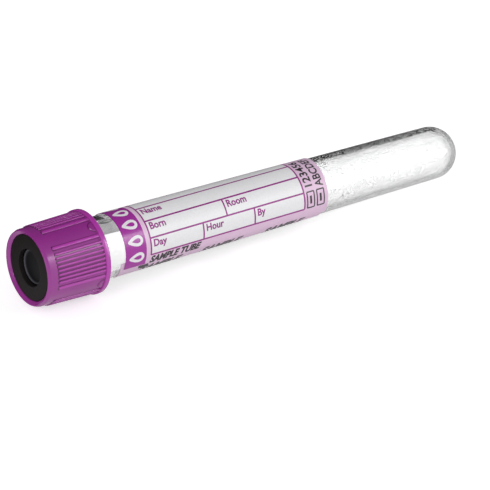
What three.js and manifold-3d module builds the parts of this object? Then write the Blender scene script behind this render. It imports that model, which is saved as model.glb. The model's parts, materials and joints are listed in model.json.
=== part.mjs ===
// Blood collection tube: a clear round-bottomed tube with a wrapped label, closed by a rubber
// stopper in a ribbed twist-off cap, lying on its side.
//
// Every piece is built about one axis and then laid down together. x runs along the axis from
// the cap's rim to the tube's round end, a radius is measured from the axis, and an angle is
// measured round it, from the top towards the front. Lengths are in millimetres.

import * as THREE from 'three';
import { mergeVertices } from 'three/addons/utils/BufferGeometryUtils.js';
import Module from 'manifold-3d';

const wasm = await Module();
wasm.setup();

// ---------------------------------------------------------------- driving dimensions

const segments = 64;               // sides of every turned piece, with one flat side down
const fitGap = 0.1;                // between pieces that seat on each other
const runningGap = 0.15;           // between pieces that slide or turn past each other

// Tube
const tubeLength = 99.9;
const mouthRadius = 6.45;
const tubeTaper = 0.0108;          // radius lost for each millimetre towards the round end
const tubeWall = 1.0;
const lipRadius = 0.35;            // rounding of the mouth's edges

// Twist thread: ribs on the tube's neck, lugs inside the cap
const threadStarts = 4;
const threadLead = 12;             // the cap's travel for each whole turn
const threadHeight = 0.4;
const threadWidth = 0.9;           // along the axis, at the root
const threadFlank = 0.2;           // lost on each side from root to crest
const threadRibStart = 2.6;        // from the mouth to the middle of a rib
const threadRibSpan = degrees(60);
const lugSpan = degrees(40);

// Ring in the cap's end
const ringHoleRadius = 3.8;
const ringThickness = 1.1;
const ringRecess = 0.5;            // its face below the cap's rim
const ringEdge = 0.12;             // chamfer of its edges

// Rubber stopper
const bossRecess = 1.0;            // from the ring's face down to the boss that shows through it
const bossRounding = 0.15;
const dishLip = 0.35;              // from the boss's side to the dish's wall
const dishSlope = 0.3;             // from the dish's wall to its flat floor
const dishDepth = 0.35;
const headGrip = 0.2;              // the head's reach past the cap's bore, into its groove
const headThickness = 0.6;
const plugLength = 8.4;
const plugDraft = 0.02;            // radius lost for each millimetre of the plug
const beadCount = 3;
const beadHeight = 0.25;           // sealing beads above the plug's side
const beadWidth = 0.9;
const plugChamfer = 0.5;
const wellRadius = 2.2;            // hollow in the plug's end
const wellFloorRadius = 1.8;
const wellDepth = 3.4;
const wellCone = 0.35;             // how far the hollow's floor rises to its middle

// Cap shell
const capLength = 14.1;
const capWall = 0.88;              // round the bore
const webThickness = 0.6;          // floor between the ring and the stopper's head
const webLedge = 1.9;              // how far that floor reaches in from its pocket's side
const rimSetback = 0.16;           // the rim's rounded crest, inside the collar
const rimWidth = 1.02;             // from the crest's outer edge in to the ring
const rimRounding = 0.15;
const shoulderLength = 0.6;
const collarLength = 2.1;
const skirtDraft = 0.021;          // radius gained for each millimetre towards the flange
const snapLead = 0.2;              // slope of the bead that holds the stopper's head
const boreChamfer = 0.25;

// Grip: the same group of ribs repeated round the skirt, with a smooth panel between groups
const gripGroups = 4;
const gripMiddle = degrees(71.1);
const fineRibs = 8;
const fineRibPitch = degrees(5.87);
const fineRibSpan = degrees(3.6);
const borderRibOffset = degrees(29.8);
const borderRibSpan = degrees(5.5);
const ribHeight = 0.25;
const ribStart = 2.3;
const ribRoot = 0.2;               // how far a rib is sunk into the skirt
const moonHalfWidth = 1.15;        // raised half moon on each smooth panel
const moonLength = 1.2;
const moonHeight = 0.2;

// Flange
const flangeReach = 0.72;          // past the collar
const flangeWidth = 1.1;
const flangeFillet = 0.2;
const flangeRounding = 0.25;

// Label: a flat rectangle wrapped round the tapered tube
const labelLength = 49;
const labelFromCap = 4.7;          // clear neck between the cap and the label
const labelThickness = 0.1;
const labelGap = 0.05;             // under the sheet, and between its layers where it overlaps
const labelAligned = degrees(45);  // where the sheet runs true with the tube
const labelTopEnd = degrees(115);
const labelOverlap = degrees(15);
const labelSteps = 66;             // divisions of the sheet, round and along the tube
const labelRows = 7;

// ---------------------------------------------------------------- stations along the axis

const ringX = ringRecess;
const webX = ringX + ringThickness + fitGap;
const headX = webX + webThickness + fitGap;
const mouthX = headX + headThickness + fitGap;
const bossX = ringX + bossRecess;
const plugEndX = headX + headThickness + plugLength;
const flangeX = capLength - flangeWidth;
const labelX = capLength + labelFromCap;

const domeRadius = (mouthRadius - tubeTaper * tubeLength) / (1 - tubeTaper);
const domeX = mouthX + tubeLength - domeRadius;
const threadRadius = mouthRadius + threadHeight;
const boreRadius = threadRadius + runningGap;
const lugRadius = mouthRadius + runningGap;
const collarRadius = boreRadius + capWall;
const flangeRadius = collarRadius + flangeReach;
const rimCrestRadius = collarRadius - rimSetback;
const ringRadius = rimCrestRadius - rimWidth;
const pocketRadius = ringRadius + fitGap;
const bossRadius = ringHoleRadius - runningGap;
const dishRadius = bossRadius - dishLip;
const headRadius = boreRadius + headGrip;
const grooveRadius = headRadius + fitGap;
const plugRadius = mouthRadius - tubeWall - runningGap - beadHeight;

function degrees(angle) {
  return THREE.MathUtils.degToRad(angle);
}

function tubeRadiusAt(x) {
  return mouthRadius - tubeTaper * (x - mouthX);
}

function skirtRadiusAt(x) {
  return collarRadius + skirtDraft * Math.max(0, x - collarLength);
}

// ---------------------------------------------------------------- shape helpers

/** Points of a round stretch, angles measured from the outward radius towards +x. */
function arc(radius, x, size, from, to, steps = 3) {
  const points = [];
  for (let i = 0; i <= steps; i++) {
    const angle = degrees(from + ((to - from) * i) / steps);
    points.push([radius + size * Math.cos(angle), x + size * Math.sin(angle)]);
  }
  return points;
}

/** A turned solid. Its profile is a list of [radius, x] that keeps the material on its left. */
function turned(profile) {
  const points = profile.map(([radius, x]) => new THREE.Vector2(radius, x));
  const geometry = new THREE.LatheGeometry(points, segments, Math.PI / segments);
  return geometry.rotateZ(-Math.PI / 2);
}

/** Bends a block round the axis: y becomes the radius and z the angle, on a helix if it climbs. */
function bent(geometry, lead = 0) {
  const place = geometry.attributes.position;
  for (let i = 0; i < place.count; i++) {
    const radius = place.getY(i);
    const angle = place.getZ(i);
    const x = place.getX(i) + (lead * angle) / (2 * Math.PI);
    place.setXYZ(i, x, -radius * Math.sin(angle), radius * Math.cos(angle));
  }
  return geometry;
}

/** A block with an outline of [x, radius], bent round the axis over a span about its middle. */
function bentBlock(outline, middle, span, steps = 1, lead = 0) {
  const shape = new THREE.Shape(outline.map(([x, radius]) => new THREE.Vector2(x, radius)));
  const geometry = new THREE.ExtrudeGeometry(shape, { depth: span, steps, bevelEnabled: false });
  return bent(geometry.translate(0, 0, -span / 2), lead).rotateX(middle);
}

/** One closed mesh: shared corners merged and collapsed triangles dropped. */
function closed(geometry) {
  geometry.deleteAttribute('normal');
  geometry.deleteAttribute('uv');
  const merged = mergeVertices(geometry, 1e-5);
  const corners = merged.index.array;
  const kept = [];
  for (let i = 0; i < corners.length; i += 3) {
    const [a, b, c] = corners.slice(i, i + 3);
    if (a !== b && b !== c && c !== a) kept.push(a, b, c);
  }
  merged.setIndex(kept);
  return merged;
}

function solid(geometry) {
  const mesh = closed(geometry);
  const vertProperties = new Float32Array(mesh.attributes.position.array);
  const triVerts = new Uint32Array(mesh.index.array);
  return new wasm.Manifold(new wasm.Mesh({ numProp: 3, vertProperties, triVerts }));
}

function joined(geometry, additions) {
  const whole = additions.reduce((sum, piece) => sum.add(solid(piece)), solid(geometry));
  const mesh = whole.getMesh();
  const result = new THREE.BufferGeometry();
  result.setAttribute('position', new THREE.BufferAttribute(mesh.vertProperties, 3));
  result.setIndex(new THREE.BufferAttribute(mesh.triVerts, 1));
  return result;
}

// ---------------------------------------------------------------- tube

function tubeProfile() {
  const innerMouth = mouthRadius - tubeWall;
  return [
    ...arc(0, domeX, domeRadius - tubeWall, 90, 0, 9).map(([r, x]) => [Math.max(r, 0), x]),
    ...arc(innerMouth + lipRadius, mouthX + lipRadius, lipRadius, 180, 270),
    ...arc(mouthRadius - lipRadius, mouthX + lipRadius, lipRadius, 270, 360),
    ...arc(0, domeX, domeRadius, 0, 90, 9).map(([r, x]) => [Math.max(r, 0), x]),
  ];
}

/** The section of a thread rib or lug between its root and its crest. */
function threadSection(x, root, crest) {
  const half = threadWidth / 2;
  return [
    [x - half, root],
    [x + half, root],
    [x + half - threadFlank, crest],
    [x - half + threadFlank, crest],
  ];
}

function tube() {
  const x = mouthX + threadRibStart;
  const section = threadSection(x, tubeRadiusAt(x) - tubeWall / 3, threadRadius);
  const ribs = [];
  for (let i = 0; i < threadStarts; i++) {
    ribs.push(bentBlock(section, (i * 2 * Math.PI) / threadStarts, threadRibSpan, 12, threadLead));
  }
  return joined(turned(tubeProfile()), ribs);
}

// ---------------------------------------------------------------- rubber stopper

function bead(x) {
  const side = plugRadius - plugDraft * (x - headX - headThickness);
  return [[side, x - beadWidth / 2], [side + beadHeight, x - beadWidth / 6],
    [side + beadHeight, x + beadWidth / 6], [side, x + beadWidth / 2]];
}

function stopper() {
  const plugX = headX + headThickness;
  const endRadius = plugRadius - plugDraft * plugLength;
  const beads = [];
  for (let i = 1; i <= beadCount; i++) {
    beads.push(...bead(plugX + (i * (plugLength - plugChamfer)) / (beadCount + 1)));
  }
  return closed(turned([
    [0, bossX + dishDepth],
    [dishRadius - dishSlope, bossX + dishDepth],
    [dishRadius, bossX + dishDepth / 2],
    ...arc(bossRadius - bossRounding, bossX + bossRounding, bossRounding, 250, 360),
    [bossRadius, headX],
    [headRadius, headX],
    [headRadius, plugX],
    [plugRadius, plugX],
    ...beads,
    [endRadius, plugEndX - plugChamfer],
    [endRadius - plugChamfer, plugEndX],
    [wellRadius, plugEndX],
    [wellFloorRadius, plugEndX - wellDepth + wellCone],
    [0, plugEndX - wellDepth],
  ]));
}

// ---------------------------------------------------------------- ring

function ring() {
  const backX = ringX + ringThickness;
  return closed(turned([
    [ringHoleRadius, backX],
    [ringHoleRadius, ringX + ringEdge],
    [ringHoleRadius + ringEdge, ringX],
    [ringRadius - ringEdge, ringX],
    [ringRadius, ringX + ringEdge],
    [ringRadius, backX],
    [ringHoleRadius, backX],
  ]));
}

// ---------------------------------------------------------------- cap shell

function capProfile() {
  const webHole = pocketRadius - webLedge;
  const headBackX = mouthX;
  const flangeRoot = skirtRadiusAt(flangeX - flangeFillet);
  return [
    [pocketRadius, ringX],
    ...arc(rimCrestRadius - rimRounding, rimRounding, rimRounding, 250, 340),
    [collarRadius, shoulderLength],
    [collarRadius, collarLength],
    [flangeRoot, flangeX - flangeFillet],
    ...arc(flangeRoot + flangeFillet, flangeX - flangeFillet, flangeFillet, 150, 90),
    ...arc(flangeRadius - flangeRounding, flangeX + flangeRounding, flangeRounding, 270, 360),
    ...arc(flangeRadius - flangeRounding, capLength - flangeRounding, flangeRounding, 0, 90),
    [boreRadius + boreChamfer, capLength],
    [boreRadius, capLength - boreChamfer],
    [boreRadius, headBackX + snapLead],
    [grooveRadius, headBackX],
    [grooveRadius, headX - fitGap],
    [webHole, headX - fitGap],
    [webHole, webX],
    [pocketRadius, webX],
    [pocketRadius, ringX],
  ];
}

/** A grip rib, sunk into the skirt, that runs from the collar into the flange. */
function gripRib(middle, span) {
  const endX = flangeX + flangeFillet;
  return bentBlock([
    [ribStart, skirtRadiusAt(ribStart) - ribRoot],
    [endX, skirtRadiusAt(endX) - ribRoot],
    [endX, skirtRadiusAt(endX) + ribHeight],
    [ribStart, skirtRadiusAt(ribStart) + ribHeight],
  ], middle, span);
}

function gripGroup(middle) {
  const ribs = [
    gripRib(middle - borderRibOffset, borderRibSpan),
    gripRib(middle + borderRibOffset, borderRibSpan),
  ];
  for (let i = 0; i < fineRibs; i++) {
    ribs.push(gripRib(middle + (i - (fineRibs - 1) / 2) * fineRibPitch, fineRibSpan));
  }
  return ribs;
}

/** The half moon on a smooth panel, its straight side against the flange. */
function halfMoon(middle) {
  const radius = skirtRadiusAt(flangeX) + moonHeight;
  const outline = new THREE.Shape();
  outline.absellipse(flangeX, 0, moonLength, moonHalfWidth, Math.PI / 2, (3 * Math.PI) / 2, false);
  const depth = moonHeight + ribRoot;
  const block = new THREE.ExtrudeGeometry(outline, { depth, bevelEnabled: false, curveSegments: 8 });
  block.translate(0, 0, -radius).rotateX(Math.PI / 2).scale(1, 1, 1 / radius);
  return bent(block).rotateX(middle);
}

function capShell() {
  const lugX = mouthX + threadRibStart + threadWidth + runningGap;
  const lug = threadSection(lugX, boreRadius + ribRoot, lugRadius).reverse();
  const additions = [];
  for (let i = 0; i < threadStarts; i++) {
    additions.push(bentBlock(lug, (i * 2 * Math.PI) / threadStarts, lugSpan, 8, threadLead));
  }
  for (let i = 0; i < gripGroups; i++) {
    const middle = gripMiddle + (i * 2 * Math.PI) / gripGroups;
    additions.push(...gripGroup(middle));
    additions.push(halfMoon(middle + Math.PI / gripGroups));
  }
  return joined(turned(capProfile()), additions);
}

// ---------------------------------------------------------------- label

/** Rolls a flat sheet round the tube's cone. x runs towards the cone's point, z across the sheet. */
function rolledOnTube(geometry, underEnd) {
  const slope = Math.atan(tubeTaper);
  const pointX = mouthX + mouthRadius / tubeTaper;
  const place = geometry.attributes.position;
  for (let i = 0; i < place.count; i++) {
    const along = -place.getX(i);
    const across = place.getZ(i);
    const distance = Math.hypot(along, across);
    const angle = Math.atan2(across, along) / Math.sin(slope);
    const turns = (angle - underEnd) / (2 * Math.PI);
    const lift = labelGap + turns * (labelThickness + labelGap);
    const radius = distance * Math.sin(slope) + lift + place.getY(i);
    place.setXYZ(i, pointX - distance * Math.cos(slope), radius, angle);
  }
  return bent(geometry).rotateX(labelAligned);
}

function label() {
  const slope = Math.atan(tubeTaper);
  const pointDistance = (mouthX + mouthRadius / tubeTaper - labelX) / Math.cos(slope);
  const topEnd = labelTopEnd - labelAligned;
  const underEnd = topEnd - 2 * Math.PI - labelOverlap;
  const acrossAt = (angle) => pointDistance * Math.sin(slope) * angle;
  const width = acrossAt(topEnd - underEnd);
  const sheet = new THREE.BoxGeometry(labelLength, labelThickness, width, labelRows, 1, labelSteps);
  sheet.translate(labelLength / 2 - pointDistance, labelThickness / 2, acrossAt(topEnd) - width / 2);
  return closed(rolledOnTube(sheet, underEnd));
}

// ---------------------------------------------------------------- assembly

function piece(name, geometry, color, roughness, metalness = 0) {
  const mesh = new THREE.Mesh(geometry, new THREE.MeshStandardMaterial({ color, roughness, metalness }));
  mesh.name = name;
  return mesh;
}

/** The slope at which the flange's edge and the round end both touch the ground. */
function lyingAngle() {
  const flat = Math.cos(Math.PI / segments);
  const edgeRadius = flangeRadius * flat;
  const reach = domeX - (capLength - flangeRounding);
  const span = Math.hypot(edgeRadius, reach);
  return Math.acos((domeRadius * flat) / span) - Math.atan2(reach, edgeRadius);
}

const assembly = new THREE.Group();
assembly.add(
  piece('tube', tube(), 0xe9eef0, 0.08),
  piece('label', label(), 0xececee, 0.45),
  piece('rubber_stopper', stopper(), 0x2b2d33, 0.8),
  piece('cap_ring', ring(), 0x262322, 0.4),
  piece('cap_shell', capShell(), 0x8f3c8a, 0.35),
);
assembly.rotation.y = lyingAngle();

const part = new THREE.Group();
part.add(assembly);
part.updateMatrixWorld(true);
const box = new THREE.Box3().setFromObject(assembly, true);
const middle = box.getCenter(new THREE.Vector3());
assembly.position.set(-middle.x, -middle.y, -box.min.z);

export default part;
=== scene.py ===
"""Looks of a blood collection tube: clear tube, printed label and a twist-off cap with a stopper.

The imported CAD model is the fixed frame, and each piece here stands for one of its nodes. Every
piece is made in the tube's own space, in millimetres: x runs along the axis from the cap's rim to
the round end, a radius is measured from the axis, and an angle is measured round the axis, from
the top towards the front. TubeAxis then lays the finished mesh down in the frame.
"""

import json
import logging
import math
from collections.abc import Iterable, Sequence
from dataclasses import dataclass, field
from enum import Enum
from typing import Any

import bmesh
import bpy
import numpy as np
from mathutils import Matrix, Vector


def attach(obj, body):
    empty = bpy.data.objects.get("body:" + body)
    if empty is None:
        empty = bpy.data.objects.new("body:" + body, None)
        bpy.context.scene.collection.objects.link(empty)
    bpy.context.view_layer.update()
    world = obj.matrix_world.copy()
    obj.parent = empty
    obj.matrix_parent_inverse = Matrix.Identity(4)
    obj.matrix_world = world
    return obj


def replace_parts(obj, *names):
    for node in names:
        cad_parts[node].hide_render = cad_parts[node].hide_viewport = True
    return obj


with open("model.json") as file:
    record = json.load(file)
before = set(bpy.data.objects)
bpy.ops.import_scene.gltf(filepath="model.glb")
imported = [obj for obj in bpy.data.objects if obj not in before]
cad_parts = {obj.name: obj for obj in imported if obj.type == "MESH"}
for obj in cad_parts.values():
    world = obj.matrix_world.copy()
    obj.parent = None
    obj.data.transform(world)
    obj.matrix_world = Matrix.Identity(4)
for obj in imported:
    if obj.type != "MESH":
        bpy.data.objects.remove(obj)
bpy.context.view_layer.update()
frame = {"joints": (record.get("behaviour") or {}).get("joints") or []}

LOG = logging.getLogger("collection_tube")
Colour = tuple[float, float, float]
Corner = tuple[float, float, float]

MILLIMETRE = 0.001
CAD_SIDES = 64  # sides of the CAD's turned pieces
FLAT_SHARE = math.cos(math.pi / CAD_SIDES)  # their flats' distance from the axis, as a share
MERGE_DISTANCE = 1e-4  # millimetres
THREAD_LEAD = 12.0  # of the twist thread, in millimetres a turn


# ---------------------------------------------------------------- shared measures


@dataclass(frozen=True)
class TubeAxis:
    """Where the tube's own space lies in the frame.

    Args:
        origin: The point of the axis on the plane of the cap's rim, in metres.
        dip: How far the axis dips towards the round end, in radians.
    """

    origin: Vector
    dip: float

    @classmethod
    def from_joint(cls, name: str) -> "TubeAxis":
        """Reads the axis from a joint of the frame.

        Args:
            name: The joint, whose point is on the rim's plane and whose axis looks to the cap.

        Returns:
            The axis of the whole tube.
        """
        joint = next(j for j in frame["joints"] if j["name"] == name)
        x, _, z = joint["axis"]
        return cls(Vector(joint["pos_m"]), math.atan2(z, -x))

    def matrix(self) -> Matrix:
        """Gives the matrix from the tube's space to the frame."""
        turned = Matrix.Rotation(self.dip, 4, "Y")
        return Matrix.Translation(self.origin) @ turned @ Matrix.Scale(MILLIMETRE, 4)


@dataclass(frozen=True)
class Taper:
    """The tube's outer cone, which the label and the cap share.

    Args:
        mouth_x: Where the mouth is, along the axis.
        mouth_radius: The cone's radius there.
        slope: Radius lost for each millimetre towards the round end.
    """

    mouth_x: float = 3.1
    mouth_radius: float = 6.45
    slope: float = 0.0108

    def radius(self, x: float) -> float:
        """Gives the outer radius at a station."""
        return self.mouth_radius - self.slope * (x - self.mouth_x)

    @property
    def half_angle(self) -> float:
        """Gives the cone's half angle."""
        return math.atan(self.slope)

    @property
    def apex_x(self) -> float:
        """Gives the station of the cone's point."""
        return self.mouth_x + self.mouth_radius / self.slope


TAPER = Taper()


# ---------------------------------------------------------------- mesh helpers


def around(x: np.ndarray, radius: np.ndarray, angle: np.ndarray) -> np.ndarray:
    """Gives points from stations, radii and angles.

    Args:
        x: Stations along the axis.
        radius: Distances from the axis.
        angle: Angles round it, in radians.

    Returns:
        An array whose last dimension is the three coordinates.
    """
    inside = radius * FLAT_SHARE
    parts = np.broadcast_arrays(x, -inside * np.sin(angle), inside * np.cos(angle))
    return np.stack(parts, axis=-1)


def eased(corners: Sequence[Corner], steps: int = 5, closed: bool = True) -> np.ndarray:
    """Rounds the corners of an outline.

    Args:
        corners: Each corner's x, radius and rounding.
        steps: Pieces of each rounded corner.
        closed: Whether the last corner joins the first. The ends of an open outline stay sharp.

    Returns:
        The outline's points, as rows of x and radius.
    """
    points = []
    count = len(corners)
    for i, (x, radius, rounding) in enumerate(corners):
        here = np.array((x, radius))
        if rounding <= 0 or (not closed and i in (0, count - 1)):
            points.append(here)
            continue
        back = np.array(corners[i - 1][:2]) - here
        ahead = np.array(corners[(i + 1) % count][:2]) - here
        room = 0.49 * min(np.linalg.norm(back), np.linalg.norm(ahead))
        back, ahead = back / np.linalg.norm(back), ahead / np.linalg.norm(ahead)
        half = math.acos(np.clip(back @ ahead, -1, 1)) / 2
        reach = min(rounding / math.tan(half), room)
        middle = here + (back + ahead) / np.linalg.norm(back + ahead) * reach / math.cos(half)
        start, end = here + back * reach - middle, here + ahead * reach - middle
        sweep = math.pi - 2 * half
        for share in np.linspace(0, 1, steps + 1):
            weights = math.sin((1 - share) * sweep), math.sin(share * sweep)
            points.append(middle + (weights[0] * start + weights[1] * end) / math.sin(sweep))
    return np.array(points)


def grid_faces(rows: int, columns: int, loop_rows: bool, loop_columns: bool) -> list[tuple]:
    """Gives the quads of a grid of points.

    Args:
        rows: Rows of the grid.
        columns: Columns of the grid.
        loop_rows: Whether the last row joins the first.
        loop_columns: Whether the last column joins the first.

    Returns:
        The corners of each quad, for points numbered row by row.
    """
    faces = []
    for i in range(rows if loop_rows else rows - 1):
        a, b = i * columns, (i + 1) % rows * columns
        for j in range(columns if loop_columns else columns - 1):
            k = (j + 1) % columns
            faces.append((a + j, a + k, b + k, b + j))
    return faces


def mesh_of(name: str, points: np.ndarray, faces: Iterable[tuple]) -> bpy.types.Mesh:
    """Makes a mesh.

    Args:
        name: The mesh's name.
        points: Its corners, as rows.
        faces: The corners of each face.

    Returns:
        The new mesh.
    """
    mesh = bpy.data.meshes.new(name)
    mesh.from_pydata(points.reshape(-1, 3).tolist(), [], list(faces))
    return mesh


def cleaned(mesh: bpy.types.Mesh, sharp: float = 32.0) -> bpy.types.Mesh:
    """Merges doubled corners, drops empty faces, turns faces outwards and smooths the shading.

    Args:
        mesh: The mesh, changed in place.
        sharp: Edges that turn by more than this stay sharp, in degrees.

    Returns:
        The same mesh.
    """
    work = bmesh.new()
    work.from_mesh(mesh)
    bmesh.ops.remove_doubles(work, verts=work.verts, dist=MERGE_DISTANCE)
    bmesh.ops.dissolve_degenerate(work, edges=work.edges, dist=MERGE_DISTANCE)
    bmesh.ops.recalc_face_normals(work, faces=work.faces)
    work.to_mesh(mesh)
    work.free()
    mesh.shade_smooth()
    mesh.set_sharp_from_angle(angle=math.radians(sharp))
    return mesh


def turned_mesh(name: str, outline: np.ndarray, columns: int) -> bpy.types.Mesh:
    """Turns an outline round the axis.

    Args:
        name: The mesh's name.
        outline: Rows of x and radius. It either closes on itself or begins and ends on the axis.
        columns: Steps round the axis.

    Returns:
        A closed mesh.
    """
    angles = np.linspace(0, 2 * math.pi, columns, endpoint=False)
    points = around(outline[:, :1], outline[:, 1:], angles[None, :])
    open_ended = outline[0, 1] == 0 and outline[-1, 1] == 0
    return cleaned(mesh_of(name, points, grid_faces(len(outline), columns, not open_ended, True)))


def stood(mesh: bpy.types.Mesh, name: str, axis: TubeAxis) -> bpy.types.Object:
    """Lays a mesh down in the frame as an object of its own.

    Args:
        mesh: A mesh in the tube's space.
        name: The object's name.
        axis: Where the tube's space lies.

    Returns:
        The new object, at the origin, with its place in its mesh.
    """
    mesh.transform(axis.matrix())
    mesh.name = name
    piece = bpy.data.objects.new(name, mesh)
    bpy.context.scene.collection.objects.link(piece)
    return piece


# ---------------------------------------------------------------- node helpers


def of_kind(sockets: Any, kind: str, name: str | None = None) -> list[bpy.types.NodeSocket]:
    """Picks the sockets of one kind, and of one name where one is given."""
    return [s for s in sockets if s.type == kind and name in (None, s.name)]


class Sketch:
    """Short calls that add nodes to one tree and join them."""

    def __init__(self, tree: bpy.types.NodeTree) -> None:
        """Keeps the tree."""
        self.tree = tree

    def node(self, kind: str, inputs: dict | None = None, **settings: Any) -> bpy.types.Node:
        """Adds a node.

        Args:
            kind: The node's type.
            inputs: What each input gets, by name or number: a value, or a socket to join.
            **settings: The node's own properties.

        Returns:
            The new node.
        """
        made = self.tree.nodes.new(kind)
        for key, value in settings.items():
            setattr(made, key, value)
        self.fill(made, inputs or {})
        return made

    def fill(self, node: bpy.types.Node, inputs: dict) -> None:
        """Joins or sets several inputs of a node, by name or number."""
        for key, value in inputs.items():
            self.feed(node.inputs[key], value)

    def here(self) -> bpy.types.NodeSocket:
        """Gives the place on the piece that is shaded."""
        return self.node("ShaderNodeTexCoord").outputs["Object"]

    def bump(self, height: Any, depth: float, strength: Any) -> bpy.types.NodeSocket:
        """Gives the normal of a surface that a height raises, by up to a depth in metres."""
        inputs = {"Height": height, "Distance": depth, "Strength": strength}
        return self.node("ShaderNodeBump", inputs).outputs["Normal"]

    def feed(self, socket: bpy.types.NodeSocket, value: Any) -> None:
        """Joins a socket to an input, or sets the input's value.

        Args:
            socket: The input.
            value: The socket or the value.
        """
        if isinstance(value, bpy.types.NodeSocket):
            self.tree.links.new(value, socket)
        else:
            socket.default_value = value

    def math(self, operation: str, *values: Any) -> bpy.types.NodeSocket:
        """Adds a Math node and gives its result."""
        return self.node("ShaderNodeMath", dict(enumerate(values)), operation=operation).outputs[0]

    def ramp(self, value: Any, low: float, high: float, start: float = 0.0,
             end: float = 1.0) -> bpy.types.NodeSocket:
        """Adds a smooth step.

        Args:
            value: What is stepped.
            low: Where the step begins.
            high: Where it ends.
            start: The result below the step.
            end: The result above it.

        Returns:
            The stepped value.
        """
        inputs = {"Value": value, "From Min": low, "From Max": high, "To Min": start,
                  "To Max": end}
        made = self.node("ShaderNodeMapRange", inputs, interpolation_type="SMOOTHSTEP")
        return made.outputs["Result"]

    def mix(self, share: Any, first: Any, second: Any) -> bpy.types.NodeSocket:
        """Mixes two colours.

        Args:
            share: How much of the second colour shows.
            first: A colour, or a socket that gives one.
            second: The same.

        Returns:
            The mixed colour.
        """
        made = self.node("ShaderNodeMix", data_type="RGBA")
        sockets = of_kind(made.inputs, "VALUE", "Factor")[:1] + of_kind(made.inputs, "RGBA")
        for socket, value in zip(sockets, (share, first, second)):
            plain = isinstance(value, tuple) and len(value) == 3
            self.feed(socket, (*value, 1.0) if plain else value)
        return of_kind(made.outputs, "RGBA")[0]

    def scaled(self, colour: Any, scale: Any) -> bpy.types.NodeSocket:
        """Makes a colour lighter or darker by a factor."""
        inputs = {0: colour, "Scale": scale}
        return self.node("ShaderNodeVectorMath", inputs, operation="SCALE").outputs[0]

    def dressed(self, geometry: Any, material: Any, only: Any = True) -> bpy.types.NodeSocket:
        """Gives a geometry's faces a material, or only the faces that a mask picks."""
        inputs = {"Geometry": geometry, "Material": material, "Selection": only}
        return self.node("GeometryNodeSetMaterial", inputs).outputs[0]

    def noise(self, where: Any, scale: Any, detail: float = 3.0,
              roughness: float = 0.5) -> bpy.types.NodeSocket:
        """Adds a Noise Texture and gives its value."""
        inputs = {"Vector": where, "Scale": scale, "Detail": detail, "Roughness": roughness}
        return self.node("ShaderNodeTexNoise", inputs).outputs["Fac"]


def socket_id(tree: bpy.types.NodeTree, name: str) -> str:
    """Gives the identifier of a tree's input, by its name."""
    return next(i.identifier for i in tree.interface.items_tree
                if i.item_type == "SOCKET" and i.in_out == "INPUT" and i.name == name)


class TreeKind(Enum):
    """The kinds of node tree that are shared or run on a mesh."""

    GEOMETRY = "GeometryNodeTree"
    SHADER = "ShaderNodeTree"


def new_tree(name: str, kind: TreeKind, inputs: dict[str, tuple],
             outputs: dict[str, str]) -> tuple[bpy.types.NodeTree, Sketch, Any, Any]:
    """Starts a node tree with named inputs and outputs.

    Args:
        name: The tree's name.
        kind: Its kind.
        inputs: Each input's kind of socket, and its first value where it has one.
        outputs: Each output's kind of socket.

    Returns:
        The tree, a sketch of it, and its input and output nodes.
    """
    tree = bpy.data.node_groups.new(name, kind.value)
    for label, (socket, *value) in inputs.items():
        made = tree.interface.new_socket(label, in_out="INPUT", socket_type=f"NodeSocket{socket}")
        if value:
            made.default_value = value[0]
    for label, socket in outputs.items():
        tree.interface.new_socket(label, in_out="OUTPUT", socket_type=f"NodeSocket{socket}")
    sketch = Sketch(tree)
    return tree, sketch, sketch.node("NodeGroupInput"), sketch.node("NodeGroupOutput")


def mesh_tree(name: str, sizes: dict[str, str]) -> tuple[bpy.types.NodeTree, Sketch, Any, Any]:
    """Starts a Geometry Nodes tree.

    Args:
        name: The tree's name.
        sizes: Its inputs after the geometry, each with the kind of its socket.

    Returns:
        The tree, a sketch of it, and its input and output nodes.
    """
    inputs = {"Geometry": ("Geometry",), **{label: (kind,) for label, kind in sizes.items()}}
    return new_tree(name, TreeKind.GEOMETRY, inputs, {"Geometry": "Geometry"})


def grown(mesh: bpy.types.Mesh, tree: bpy.types.NodeTree, values: dict[str, Any],
          name: str) -> bpy.types.Mesh:
    """Runs a Geometry Nodes tree on a mesh and keeps the result as a plain mesh.

    Args:
        mesh: What the tree starts from.
        tree: The tree.
        values: Its inputs, by name.
        name: The new mesh's name.

    Returns:
        The plain mesh, with the tree's materials.
    """
    seed = bpy.data.objects.new(name + "_seed", mesh)
    bpy.context.scene.collection.objects.link(seed)
    modifier = seed.modifiers.new(tree.name, "NODES")
    modifier.node_group = tree
    for label, value in values.items():
        modifier[socket_id(tree, label)] = value
    evaluated = seed.evaluated_get(bpy.context.evaluated_depsgraph_get())
    made = bpy.data.meshes.new_from_object(evaluated)
    seed.modifiers.remove(modifier)
    bpy.data.objects.remove(seed)
    made.name = name
    return made


# ---------------------------------------------------------------- shared effects


GRAIN_DEPTH = 0.00002  # metres


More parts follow.
